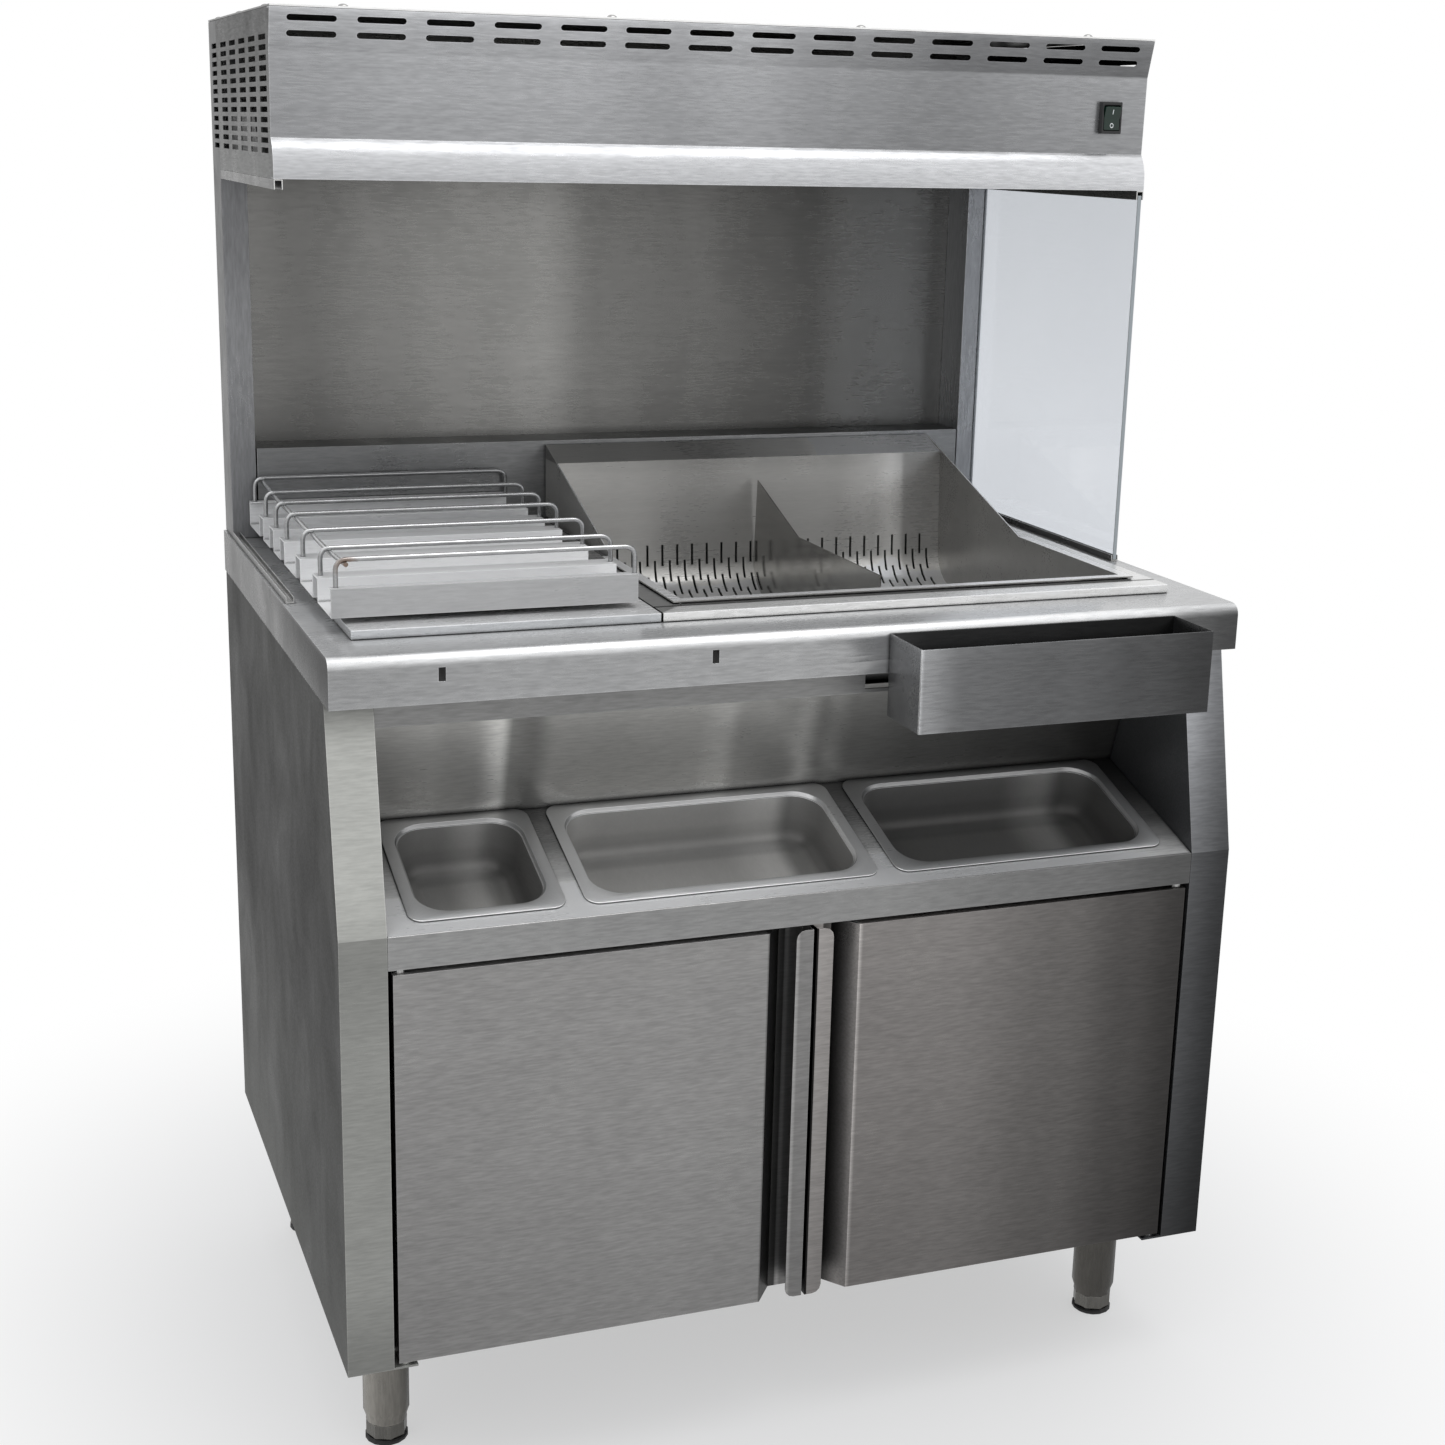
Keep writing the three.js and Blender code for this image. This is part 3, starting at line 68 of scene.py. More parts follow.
# Floor and light. A plain pale floor that keeps a light shadow and turns white away from the station, a
# white surround, one broad lamp overhead for the rounded edges and a weaker one from the left.
def add_node(tree, kind, inputs=None, **properties):
    """A shader node with its properties set, and each input linked to a socket or set to a value."""
    made = tree.nodes.new("ShaderNode" + kind)
    for name, value in properties.items():
        setattr(made, name, value)
    for name, value in (inputs or {}).items():
        if isinstance(value, bpy.types.NodeSocket):
            tree.links.new(value, made.inputs[name])
        else:
            made.inputs[name].default_value = value
    return made


def map_range(tree, value, low, high, to_low=0.0, to_high=1.0, **properties):
    """A value carried over from the range low to high to another range, and held within it."""
    inputs = {"Value": value, "From Min": low, "From Max": high, "To Min": to_low, "To Max": to_high}
    return add_node(tree, "MapRange", inputs, **properties).outputs[0]


def seen_rays(tree):
    """1 for rays that show in the picture, straight, mirrored or through glass, and 0 for the light."""
    rays = add_node(tree, "LightPath")
    direct = add_node(tree, "Math", {0: rays.outputs["Is Camera Ray"], 1: rays.outputs["Is Glossy Ray"]},
                      operation="MAXIMUM")
    through = rays.outputs["Is Transmission Ray"]
    return add_node(tree, "Math", {0: direct.outputs[0], 1: through}, operation="MAXIMUM").outputs[0]


def build_surround():
    world = bpy.data.worlds.new("surround")
    bpy.context.scene.world = world
    world.use_nodes = True
    tree = world.node_tree
    tree.nodes.clear()
    light = add_node(tree, "Background", {"Color": (0.95, 0.97, 1.0, 1), "Strength": 0.62})
    white = add_node(tree, "Background", {"Color": (1, 1, 1, 1), "Strength": 1.0})
    mixed = add_node(tree, "MixShader", {0: seen_rays(tree), 1: light.outputs[0], 2: white.outputs[0]})
    add_node(tree, "OutputWorld", {"Surface": mixed.outputs[0]})


shadow_reach, white_reach = 0.35, 1.3  # from the station's middle; the floor whitens between the two
least_white = 0.5


def build_floor():
    bpy.ops.mesh.primitive_plane_add(size=80, location=(0, 0, 0))
    floor = bpy.context.object
    floor.name = "studio_floor"
    paint = bpy.data.materials.new("pale floor")
    paint.use_nodes = True
    tree = paint.node_tree
    tree.nodes.clear()
    place = add_node(tree, "TexCoord").outputs["Object"]
    reach = add_node(tree, "VectorMath", {0: place}, operation="LENGTH").outputs["Value"]
    far = map_range(tree, reach, shadow_reach, white_reach, least_white, interpolation_type="SMOOTHSTEP")
    pale = add_node(tree, "BsdfDiffuse", {"Color": (0.88, 0.88, 0.88, 1)})
    white = add_node(tree, "Emission", {"Strength": 1.0})
    share = add_node(tree, "Math", {0: far, 1: seen_rays(tree)}, operation="MULTIPLY")
    mixed = add_node(tree, "MixShader", {0: share.outputs[0], 1: pale.outputs[0], 2: white.outputs[0]})
    add_node(tree, "OutputMaterial", {"Surface": mixed.outputs[0]})
    floor.data.materials.append(paint)


def add_lamp(name, place, aim, size, radiance):
    """A round lamp turned to its aim. Its power is its radiance times pi times its area."""
    lamp_data = bpy.data.lights.new(name, "AREA")
    lamp_data.shape = "DISK"
    lamp_data.size = size
    lamp_data.energy = radiance * math.pi * math.pi * size * size / 4
    lamp = bpy.data.objects.new(name, lamp_data)
    bpy.context.scene.collection.objects.link(lamp)
    facing_aim = (Vector(aim) - Vector(place)).to_track_quat("-Z", "Y")
    lamp.matrix_world = Matrix.Translation(place) @ facing_aim.to_matrix().to_4x4()


build_surround()
build_floor()
add_lamp("overhead lamp", (0.4, -0.7, 3.4), (0, 0, 0.6), 2.2, 2.0)
add_lamp("left lamp", (-2.6, -2.2, 2.6), (0, 0, 0.8), 1.4, 1.1)

# Side panels. Folded boxes of 1.5 mm brushed stainless steel, welded at the corners and ground flush;
# the front face leans back above the pan shelf, and the outside is painted darker than the front, as
# shade.
noise_low, noise_high = 0.3, 0.7  # the range that most of a noise keeps to
hair_along, hair_across = 55.0, 430.0  # noise scales along the grain and across it
streak_along, streak_across = 1.8, 95.0
cloud_scales, dull_scales = (2.4, 2.4, 1.5), (11.0, 11.0, 7.0)
# Where the painted highlight on a fold starts and is full, and where painted light on a leaning face
# starts and is full.
fold_start, fold_full = -0.08, -0.45  # a normal's depth part times its height part, on a fold
lean_start, lean_full = 0.08, 0.2  # a normal's height part, on a leaning face
fade_directions = {"X": (1, 0, 0), "Y": (0, 1, 0), "Z": (0, 0, 1), "mitre": (1, -1, 0),
                   "bowl": (0, -0.299, 0.954)}  # a bowl is drawn down square to the leaning shelf
ramp_scale = 4.0  # a colour ramp holds shades up to 1, so it holds a quarter of each share
# The painted highlight on sharp edges: its reach, then where it starts and where it is full.
edge_highlight_reach, edge_highlight_start, edge_highlight_full = 0.0016, 0.99, 0.85  # a radius, then cosines of the turn at an edge
# How the painted contact shade follows the occlusion, and how dark it gets.
contact_closed, contact_open, contact_share = 0.45, 0.85, 0.12
burn_core, burn_reach, burn_strength, burn_brown = 0.003, 0.016, 0.9, (0.16, 0.075, 0.03, 1)


def times(tree, first, second):
    return add_node(tree, "Math", {0: first, 1: second}, operation="MULTIPLY").outputs[0]


def noise(tree, place, scales, detail, low, high, distortion=0.0):
    """Noise from low to high, with a scale for each axis."""
    spread = add_node(tree, "Mapping", {"Vector": place, "Scale": scales}).outputs[0]
    made = add_node(tree, "TexNoise", {"Vector": spread, "Scale": 1.0, "Detail": detail,
                                       "Roughness": 0.6, "Distortion": distortion}).outputs[0]
    return map_range(tree, made, noise_low, noise_high, low, high)


def grain_scales(grain, along, across_it):
    return [along if axis == grain else across_it for axis in "XYZ"]


def share_by_side(tree, facing, turned):
    """Painted light and shade by the side a face turns to, and a painted highlight on a front-top fold."""
    total = None
    for axis, (low, high) in enumerate((("left", "right"), ("front", "back"), ("down", "up"))):
        sign = add_node(tree, "Math", {0: facing[axis], 1: 0.0}, operation="GREATER_THAN").outputs[0]
        pick = map_range(tree, sign, 0.0, 1.0, turned.get(low, 1.0), turned.get(high, 1.0))
        part = times(tree, times(tree, facing[axis], facing[axis]), pick)
        total = part if total is None else add_node(tree, "Math", {0: total, 1: part}).outputs[0]
    if "bend" in turned:
        ahead_and_up = times(tree, facing[1], facing[2])
        folded = map_range(tree, ahead_and_up, fold_start, fold_full, 0.0, turned["bend"])
        total = add_node(tree, "Math", {0: total, 1: folded}).outputs[0]
    return total


def share_along(tree, place, facing, direction, stops, limit=None):
    """A share of painted reflections and shade that changes along the piece, through stops of a place and
    a share each. The limit is an axis, for the faces turned along it only, or two heights, for what lies
    above them."""
    spot = add_node(tree, "VectorMath", {0: place, 1: fade_directions[direction]}, operation="DOT_PRODUCT")
    first, last = stops[0][0], stops[-1][0]
    ramp = add_node(tree, "ValToRGB", {"Fac": map_range(tree, spot.outputs["Value"], first, last)})
    ramp.color_ramp.interpolation = "EASE"
    while len(ramp.color_ramp.elements) < len(stops):
        ramp.color_ramp.elements.new(0.5)
    for element, stop in zip(ramp.color_ramp.elements, stops):
        element.position = (stop[0] - first) / (last - first)
    for element, stop in zip(ramp.color_ramp.elements, stops):
        shade = stop[1] / ramp_scale
        element.color = (shade, shade, shade, 1)
    share = times(tree, ramp.outputs["Color"], ramp_scale)
    if isinstance(limit, str):
        towards = facing["XYZ".index(limit)]
        share = map_range(tree, times(tree, towards, towards), 0.0, 1.0, 1.0, share)
    elif limit:
        height = add_node(tree, "SeparateXYZ", {0: place}).outputs[2]
        share = map_range(tree, height, *limit, 1.0, share)
    return share


def brushed_steel(name, tone, tint=(1.0, 0.995, 0.98), grain="X", roughness=0.3, turned=None, lean=1.0,
                  fades=(), lines=0.12, clouds=0.06, streaks=0.03, metal=0.75, edge=0.7, edge_highlight=0.5,
                  contact_shade=0.0, burnt=None):
    """Steel with fine lines along the grain, longer streaks and soft clouds. The tone may carry painted
    light and shade by the side that a face turns to and its lean, painted reflections and shade along the
    piece, a painted highlight on sharp edges, painted shade where pieces meet, and a heat tint round a
    burnt weld."""
    steel = bpy.data.materials.new(name)
    steel.use_nodes = True
    tree = steel.node_tree
    tree.nodes.clear()
    place = add_node(tree, "TexCoord").outputs["Object"]
    hair = noise(tree, place, grain_scales(grain, hair_along, hair_across), 2.0, 1 - lines, 1 + lines)
    long = noise(tree, place, grain_scales(grain, streak_along, streak_across), 2.0, 1 - streaks,
                 1 + streaks)
    share = times(tree, hair, long)
    share = times(tree, share, noise(tree, place, cloud_scales, 3.0, 1 - clouds, 1 + clouds, 0.6))
    facing = add_node(tree, "SeparateXYZ", {0: add_node(tree, "NewGeometry").outputs["Normal"]}).outputs
    # Painted light and shade: a share for each side a face turns to, and more on leaning faces.
    if turned:
        share = times(tree, share, share_by_side(tree, facing, turned))
    if lean != 1.0:
        share = times(tree, share, map_range(tree, facing[2], lean_start, lean_full, 1.0, lean))
    # Painted reflections and shade that change along the piece.
    for fade in fades:
        share = times(tree, share, share_along(tree, place, facing, *fade))
    # A painted highlight: lighter colour on sharp edges, found by the Bevel node.
    if edge_highlight:
        rounded = add_node(tree, "Bevel", {"Radius": edge_highlight_reach}, samples=4).outputs[0]
        flat = add_node(tree, "NewGeometry").outputs["True Normal"]
        turn_at_edge = add_node(tree, "VectorMath", {0: rounded, 1: flat}, operation="DOT_PRODUCT")
        share = times(tree, share, map_range(tree, turn_at_edge.outputs["Value"], edge_highlight_start, edge_highlight_full,
                                             1.0, 1 + edge_highlight))
    # Painted shade: darker colour in creases and where pieces meet, from ambient occlusion.
    if contact_shade:
        near = add_node(tree, "AmbientOcclusion", {"Distance": contact_shade}, samples=6).outputs["AO"]
        share = times(tree, share, map_range(tree, near, contact_closed, contact_open, contact_share, 1.0))
    colour = [tone * part for part in tint] + [1]
    toned = add_node(tree, "Mix", {0: 1.0, 6: colour, 7: share}, data_type="RGBA", blend_type="MULTIPLY",
                     clamp_result=True).outputs[2]
    if burnt:
        away = add_node(tree, "VectorMath", {0: place, 1: burnt}, operation="DISTANCE").outputs["Value"]
        heat = map_range(tree, away, burn_core, burn_reach, burn_strength, 0.0)
        toned = add_node(tree, "Mix", {0: heat, 6: toned, 7: burn_brown}, data_type="RGBA").outputs[2]
    dull = noise(tree, place, dull_scales, 3.0, roughness - 0.05, roughness + 0.06, 0.4)
    rough = times(tree, dull, map_range(tree, hair, 1 - lines, 1 + lines, 1.12, 0.9))
    bump = add_node(tree, "Bump", {"Height": hair, "Strength": 0.025, "Distance": 0.0003}).outputs[0]
    shader = add_node(tree, "BsdfPrincipled", {"Base Color": toned, "Metallic": metal,
                                               "Roughness": rough, "Normal": bump,
                                               "Specular IOR Level": 0.3,
                                               "Specular Tint": (edge, edge, edge, 1)})
    add_node(tree, "OutputMaterial", {"Surface": shader.outputs[0]})
    return steel


crease = 35  # degrees; a sharper edge is eased, and shaded as an edge
merge_reach = 0.00001


def ease_edges(piece, width):
    eased = piece.modifiers.new("eased edges", "BEVEL")
    eased.width = width
    eased.segments = 2
    eased.limit_method = "ANGLE"
    eased.angle_limit = math.radians(crease)


def dress(node_name, material, ease=0.0005):
    """Gives a solid of the frame its material, and eased edges."""
    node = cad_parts[node_name]
    node.material_slots[0].link = "OBJECT"
    node.material_slots[0].material = material
    if ease:
        weld = node.modifiers.new("merged", "WELD")
        weld.merge_threshold = merge_reach
        ease_edges(node, ease)


def smooth_copy(node_name, body, material, angle=crease, ease=0.0005):
    """Puts a smoothly shaded copy in the place of a solid of the frame that has round folds."""
    made = bpy.data.objects.new(node_name + "_sheet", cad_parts[node_name].data.copy())
    bpy.context.scene.collection.objects.link(made)
    bpy.ops.object.select_all(action="DESELECT")
    bpy.context.view_layer.objects.active = made
    made.select_set(True)
    bpy.ops.object.mode_set(mode="EDIT")
    bpy.ops.mesh.select_all(action="SELECT")
    bpy.ops.mesh.customdata_custom_splitnormals_clear()
    bpy.ops.mesh.remove_doubles(threshold=merge_reach)
    bpy.ops.mesh.dissolve_limited(angle_limit=math.radians(1))
    bpy.ops.object.mode_set(mode="OBJECT")
    if ease:
        ease_edges(made, ease)
        bpy.ops.object.modifier_apply(modifier="eased edges")
    bpy.ops.object.shade_smooth_by_angle(angle=math.radians(angle))
    made.data.materials.clear()
    made.data.materials.append(material)
    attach(made, body)
    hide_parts(node_name)


# Painted light and shade: a share for each side a face turns to and by height; the right panel darker.
side_turned = {"front": 1.0, "left": 0.2, "right": 0.45, "back": 0.5, "up": 1.6, "down": 0.4}
left_side = brushed_steel("left side steel", 0.29, (0.99, 1.0, 0.95), "X", 0.34, side_turned, 1.45,
                          edge=0.3, lines=0.08, clouds=0.16,
                          fades=[("Z", [(0.15, 2.8), (0.3, 1.6), (0.55, 0.6), (0.85, 0.95)], "X"),
                                 ("Z", [(0.15, 0.72), (0.25, 0.95), (0.45, 0.9), (0.6, 0.72), (0.68, 0.95),
                                        (0.8, 0.95), (0.856, 0.45)], "Y"),
                                 ("Y", [(-0.34, 1.25), (-0.1, 0.95), (0.12, 1.1), (0.38, 0.9)])])
dress("left_side_panel", left_side)
right_turned = {"front": 1.0, "left": 1.25, "right": 0.45, "back": 0.5, "up": 1.6, "down": 0.4}
right_side = brushed_steel("right side steel", 0.14, (0.97, 0.99, 1.03), "X", 0.34, right_turned, 1.75,
                           fades=[("X", [(0.44, 1.2), (0.5, 0.5)]),
                                  ("Z", [(0.15, 0.3), (0.45, 0.5), (0.62, 0.65), (0.85, 1.75)])])
dress("right_side_panel", right_side)

# Cabinet floor and back panel. Plain folded sheets that close the cupboard behind and below the doors,
# held by spot welds; the mains lead would leave through the black gland low on the back.
# Painted light and shade inside: a share for each side a face turns to, also used for rail, skins and
# well.
inside = {"front": 0.8, "left": 0.6, "right": 0.6, "back": 1.4, "up": 1.0, "down": 0.7}
cupboard = brushed_steel("cupboard steel", 0.16, grain="X", roughness=0.38, turned=inside)
dress("cabinet_floor", cupboard)
dress("cabinet_back_panel", cupboard)


def moulded_plastic(name, colour, roughness=0.42, coat=0.0):
    """Moulded plastic with a fine matt grain and slightly polished patches."""
    plastic = bpy.data.materials.new(name)
    plastic.use_nodes = True
    tree = plastic.node_tree
    tree.nodes.clear()
    place = add_node(tree, "TexCoord").outputs["Object"]
    grain = add_node(tree, "TexNoise", {"Vector": place, "Scale": 1400.0, "Detail": 2.0}).outputs[0]
    patches = add_node(tree, "TexNoise", {"Vector": place, "Scale": 45.0, "Detail": 3.0}).outputs[0]
    share = map_range(tree, patches, noise_low, noise_high, 0.8, 1.2)
    toned = add_node(tree, "Mix", {0: 1.0, 6: (*colour, 1), 7: share}, data_type="RGBA",
                     blend_type="MULTIPLY").outputs[2]
    rough = map_range(tree, patches, noise_low, noise_high, roughness - 0.08, roughness + 0.1)
    bump = add_node(tree, "Bump", {"Height": grain, "Strength": 0.2, "Distance": 0.0002}).outputs[0]
    shader = add_node(tree, "BsdfPrincipled", {"Base Color": toned, "Roughness": rough, "Normal": bump,
                                               "Coat Weight": coat})
    add_node(tree, "OutputMaterial", {"Surface": shader.outputs[0]})
    return plastic


dress("cable_gland", moulded_plastic("black gland", (0.02, 0.02, 0.021)), ease=0.0004)

# Worktop. One pressing of thick brushed sheet with a rounded front edge and a deep skirt that is slotted
# for the bin's hooks; painted light makes the top and the rounded edge bright, and painted shade makes the
# left end and the skirt's right end darker.
worktop_turned = {"front": 1.0, "left": 0.085, "right": 0.5, "back": 0.6, "up": 2.05, "down": 0.35,
                  "bend": 1.2}
worktop_steel = brushed_steel("worktop steel", 0.4, (0.99, 0.995, 1.0), "X", 0.27, worktop_turned,
                              metal=0.6, contact_shade=0.006,
                              fades=[("X", [(-0.5, 0.85), (-0.3, 1.0), (0.0, 1.04), (0.3, 0.92),
                                            (0.5, 0.78)]),
                                     ("X", [(-0.5, 1.0), (0.4, 0.95), (0.44, 0.4), (0.5, 0.2)], "Y")])
smooth_copy("worktop", "station", worktop_steel)

# Rail under the worktop. A channel of folded sheet, spot welded behind the skirt to stiffen it, open
# towards the right, with painted shade inside.
rail_steel = brushed_steel("rail steel", 0.34, grain="X", roughness=0.33, turned=inside, metal=0.5)
dress("under_worktop_rail", rail_steel)

# Pan shelf and recess wall. The shelf's top leans towards the user, its face hangs upright below; the
# wall behind it closes the recess and carries painted soft upright reflections.
# Painted light and shade on the shelf: the leaning top much lighter, a bright front strip, darker to the
# back and right.
shelf_turned = {"front": 1.0, "left": 0.5, "right": 0.5, "back": 0.4, "up": 2.6, "down": 0.3}
shelf_steel = brushed_steel("shelf steel", 0.36, grain="X", roughness=0.3, turned=shelf_turned,
                            metal=0.35, contact_shade=0.006,
                            fades=[("X", [(-0.45, 1.0), (0.05, 0.9), (0.3, 0.58), (0.45, 0.3)]),
                                   ("Y", [(-0.333, 0.95), (-0.3305, 0.95), (-0.329, 2.9), (-0.31, 2.5),
                                          (-0.29, 1.6), (-0.26, 0.75), (-0.2, 0.3), (-0.15, 0.15)])])
dress("pan_shelf", shelf_steel)
# Painted reflections on the recess wall: light and dark upright bands, darker towards the right.
recess_steel = brushed_steel("recess steel", 0.56, (1.0, 0.99, 0.95), "X", 0.3, clouds=0.12, metal=0.5,
                             contact_shade=0.008,
                             fades=[("X", [(-0.427, 0.85), (-0.375, 1.05), (-0.345, 0.9), (-0.325, 0.95),
                                           (-0.297, 1.65), (-0.283, 0.55), (-0.262, 0.5), (-0.235, 0.95),
                                           (-0.08, 1.0), (-0.045, 1.3), (-0.025, 0.9), (0.03, 0.75),
                                           (0.05, 0.95), (0.07, 0.6), (0.085, 0.75), (0.11, 0.5),
                                           (0.2, 0.36), (0.3, 0.24), (0.42, 0.13)])])
dress("recess_back_wall", recess_steel)


# Pans. Deep drawn stainless steel food pans in gastronorm sizes: a rolled outer rim, a step down to the
# opening, rounded corners and a round bottom; they drop into the shelf's openings.
def pick(test, kind="FACE"):
    """Selects the vertices, edges or faces of the shape in hand that pass the test, and no others."""
    mesh = bmesh.from_edit_mesh(bpy.context.object.data)
    for group in (mesh.verts, mesh.edges, mesh.faces):
        for element in group:
            element.select = False
    bpy.context.tool_settings.mesh_select_mode = (kind == "VERT", kind == "EDGE", kind == "FACE")
    chosen = {"VERT": mesh.verts, "EDGE": mesh.edges, "FACE": mesh.faces}[kind]
    for element in chosen:
        if test(element):
            element.select_set(True)
    bmesh.update_edit_mesh(bpy.context.object.data)


def start_shape(add, name):
    bpy.ops.object.select_all(action="DESELECT")
    add()
    made = bpy.context.object
    made.name = name
    bpy.ops.object.transform_apply(location=True, rotation=True, scale=True)
    bpy.ops.object.mode_set(mode="EDIT")
    return made


round_crease = math.radians(50)  # on small round pieces, up to which a turn is shaded smooth


def finish_shape(made, body, material, nodes=()):
    bpy.ops.object.mode_set(mode="OBJECT")
    for modifier in list(made.modifiers):
        bpy.ops.object.modifier_apply(modifier=modifier.name)
    bpy.ops.object.transform_apply(location=True, rotation=True, scale=True)
    bpy.ops.object.shade_smooth_by_angle(angle=round_crease)
    made.data.materials.append(material)
    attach(made, body)
    if nodes:
        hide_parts(*nodes)


shelf_lean = math.radians(17.4)
shelf_edge_depth, shelf_edge_height = -0.332, 0.624
pans_left, pans_right, pan_gap = -0.426, 0.426, 0.02
third_width, sixth_width, pan_length = 0.3248, 0.1624, 0.176
pan_front = 0.0178  # from the shelf's front edge
rim_height, rim_width, rim_corner = 0.0023, 0.0125, 0.015
rim_roll, rim_crease = 0.0014, math.radians(32)
bowl_corner = 0.034
step_drop, step_inset, ledge = 0.0045, 0.0015, 0.0012
wall_drop, wall_foot_inset = 0.031, 0.0055  # the inset is counted from the inside of the rim
bottom_curve = ((0.0090, 0.0014), (0.0076, 0.0034), (0.0056, 0.0054), (0.0034, 0.0070), (0.0012, 0.0080))
pan_sheet = 0.0008
bowl_top = -0.0035  # where the bowl's steel starts, from the shelf's top


def draw_pan(name, node, body, middle, width, steels):
    """A pan drawn down in steps from its rim, each a drop and an inset, and set into the shelf."""
    def outline():
        bpy.ops.mesh.primitive_plane_add(size=1, location=(0, 0, rim_height))
        bpy.context.object.scale = (width, pan_length, 1)

    pan = start_shape(outline, name)
    bpy.ops.mesh.select_all(action="SELECT")
    bpy.ops.mesh.bevel(offset=rim_corner, offset_type="OFFSET", affect="VERTICES", segments=8)
    bpy.ops.mesh.delete(type="ONLY_FACE")
    half_x, half_y = width / 2 - rim_width, pan_length / 2 - rim_width
    bpy.ops.mesh.select_all(action="DESELECT")
    bpy.ops.mesh.primitive_plane_add(size=1, location=(0, 0, rim_height))
    bpy.ops.transform.resize(value=(half_x * 2, half_y * 2, 1))
    bpy.ops.mesh.bevel(offset=bowl_corner, offset_type="OFFSET", affect="VERTICES", segments=8)
    bpy.ops.mesh.extrude_region_move(TRANSFORM_OT_translate={"value": (0, 0, -step_drop)})
    bpy.ops.transform.resize(value=((half_x - step_inset) / half_x, (half_y - step_inset) / half_y, 1))
    bpy.ops.mesh.inset(thickness=ledge)
    bpy.ops.mesh.extrude_region_move(TRANSFORM_OT_translate={"value": (0, 0, -wall_drop)})
    wall_top_inset = step_inset + ledge
    bpy.ops.transform.resize(value=((half_x - wall_foot_inset) / (half_x - wall_top_inset),
                                    (half_y - wall_foot_inset) / (half_y - wall_top_inset), 1))
    for drop, inward in bottom_curve:
        bpy.ops.mesh.inset(thickness=inward)
        bpy.ops.transform.translate(value=(0, 0, -drop))
    pick(lambda face: len(face.verts) > 8 and face.calc_center_median().z > 0)
    bpy.ops.mesh.delete(type="ONLY_FACE")
    pick(lambda edge: edge.is_boundary or not edge.link_faces, "EDGE")
    bpy.ops.mesh.bridge_edge_loops()
    pick(lambda edge: edge.is_boundary, "EDGE")
    bpy.ops.mesh.extrude_edges_move(TRANSFORM_OT_translate={"value": (0, 0, -pan_sheet)})
    bpy.ops.mesh.select_all(action="SELECT")
    bpy.ops.mesh.normals_make_consistent(inside=False)
    bpy.ops.object.mode_set(mode="OBJECT")
    lean = Matrix.Rotation(shelf_lean, 4, "X")
    place = Vector((middle, shelf_edge_depth, shelf_edge_height)) + lean @ Vector((
        0, pan_front + pan_length / 2, 0))
    pan.matrix_world = Matrix.Translation(place) @ lean
    rolled = pan.modifiers.new("rolled rim", "BEVEL")
    rolled.width = rim_roll
    rolled.segments = 3
    rolled.limit_method = "ANGLE"
    rolled.angle_limit = rim_crease
    wall = pan.modifiers.new("wall", "SOLIDIFY")
    wall.thickness = pan_sheet
    wall.offset = -1
    rim_steel, bowl_steel = steels
    finish_shape(pan, body, rim_steel, (node,))
    pan.data.materials.append(bowl_steel)
    flat = lean.inverted()
    for face in pan.data.polygons:
        face.material_index = 1 if (flat @ (face.center - place)).z < bowl_top else 0


def pan_steel(name, tone, middle, width, shares):
    """Satin steel for the rim, with painted light by side, a painted fold highlight and darker towards the
    back, and for the bowl, whose painted shade runs from wall to wall with one painted reflection streak,
    lighter at the bottom and darker just above it.
    """
    left = middle - width / 2
    rim_turned = {"front": 2.0, "left": 2.0, "right": 0.5, "back": 0.5, "up": 0.45, "down": 0.3,
                  "bend": 2.4}
    rim = brushed_steel(name + " rim", tone, (0.99, 0.99, 0.99), "X", 0.34, rim_turned, lines=0.008,
                        streaks=0.005, metal=0.6, edge_highlight=0,
                        fades=[("Y", [(-0.32, 1.15), (-0.24, 0.95), (-0.16, 0.6)])])
    bowl_turned = {"front": 1.0, "left": 0.9, "right": 0.95, "back": 0.9, "up": 1.0, "down": 1.0,
                   "bend": -0.4}
    bowl = brushed_steel(name + " bowl", tone, (1.0, 0.985, 0.955), "Y", 0.4, bowl_turned, lines=0.02,
                         clouds=0.04, streaks=0.02, metal=0.3, edge_highlight=0,
                         fades=[("X", [(left + part * width, share) for part, share in shares]),
                                ("bowl", [(0.634, 2.0), (0.636, 1.8), (0.641, 1.05), (0.65, 0.85),
                                          (0.658, 0.95), (0.668, 1.1), (0.69, 1.1)])])
    return rim, bowl


# Each pan's steel is a lighter or darker copy, as light and shade, with its own painted streak.
left_middle = pans_left + sixth_width / 2
draw_pan("sixth_pan", "pan_sixth_left", "left_pan", left_middle, sixth_width,
         pan_steel("sixth pan", 0.36, left_middle, sixth_width,
                   ((0.0, 0.9), (0.15, 0.8), (0.4, 0.85), (0.63, 1.4), (0.78, 0.7), (0.9, 0.6),
                    (1.0, 0.9))))
centre_middle = pans_left + sixth_width + pan_gap + third_width / 2
draw_pan("middle_third_pan", "pan_third_middle", "middle_pan", centre_middle, third_width,
         pan_steel("middle pan", 0.48, centre_middle, third_width,
                   ((0.0, 1.0), (0.08, 1.15), (0.2, 0.95), (0.6, 0.9), (0.8, 1.35), (0.87, 0.6),
                    (0.93, 0.5), (1.0, 0.9))))
right_middle = pans_right - third_width / 2
draw_pan("right_third_pan", "pan_third_right", "right_pan", right_middle, third_width,
         pan_steel("right pan", 0.32, right_middle, third_width,
                   ((0.0, 0.9), (0.05, 0.9), (0.12, 0.55), (0.6, 0.55), (0.78, 1.2), (0.87, 0.5),
                    (0.94, 0.45), (1.0, 0.8))))

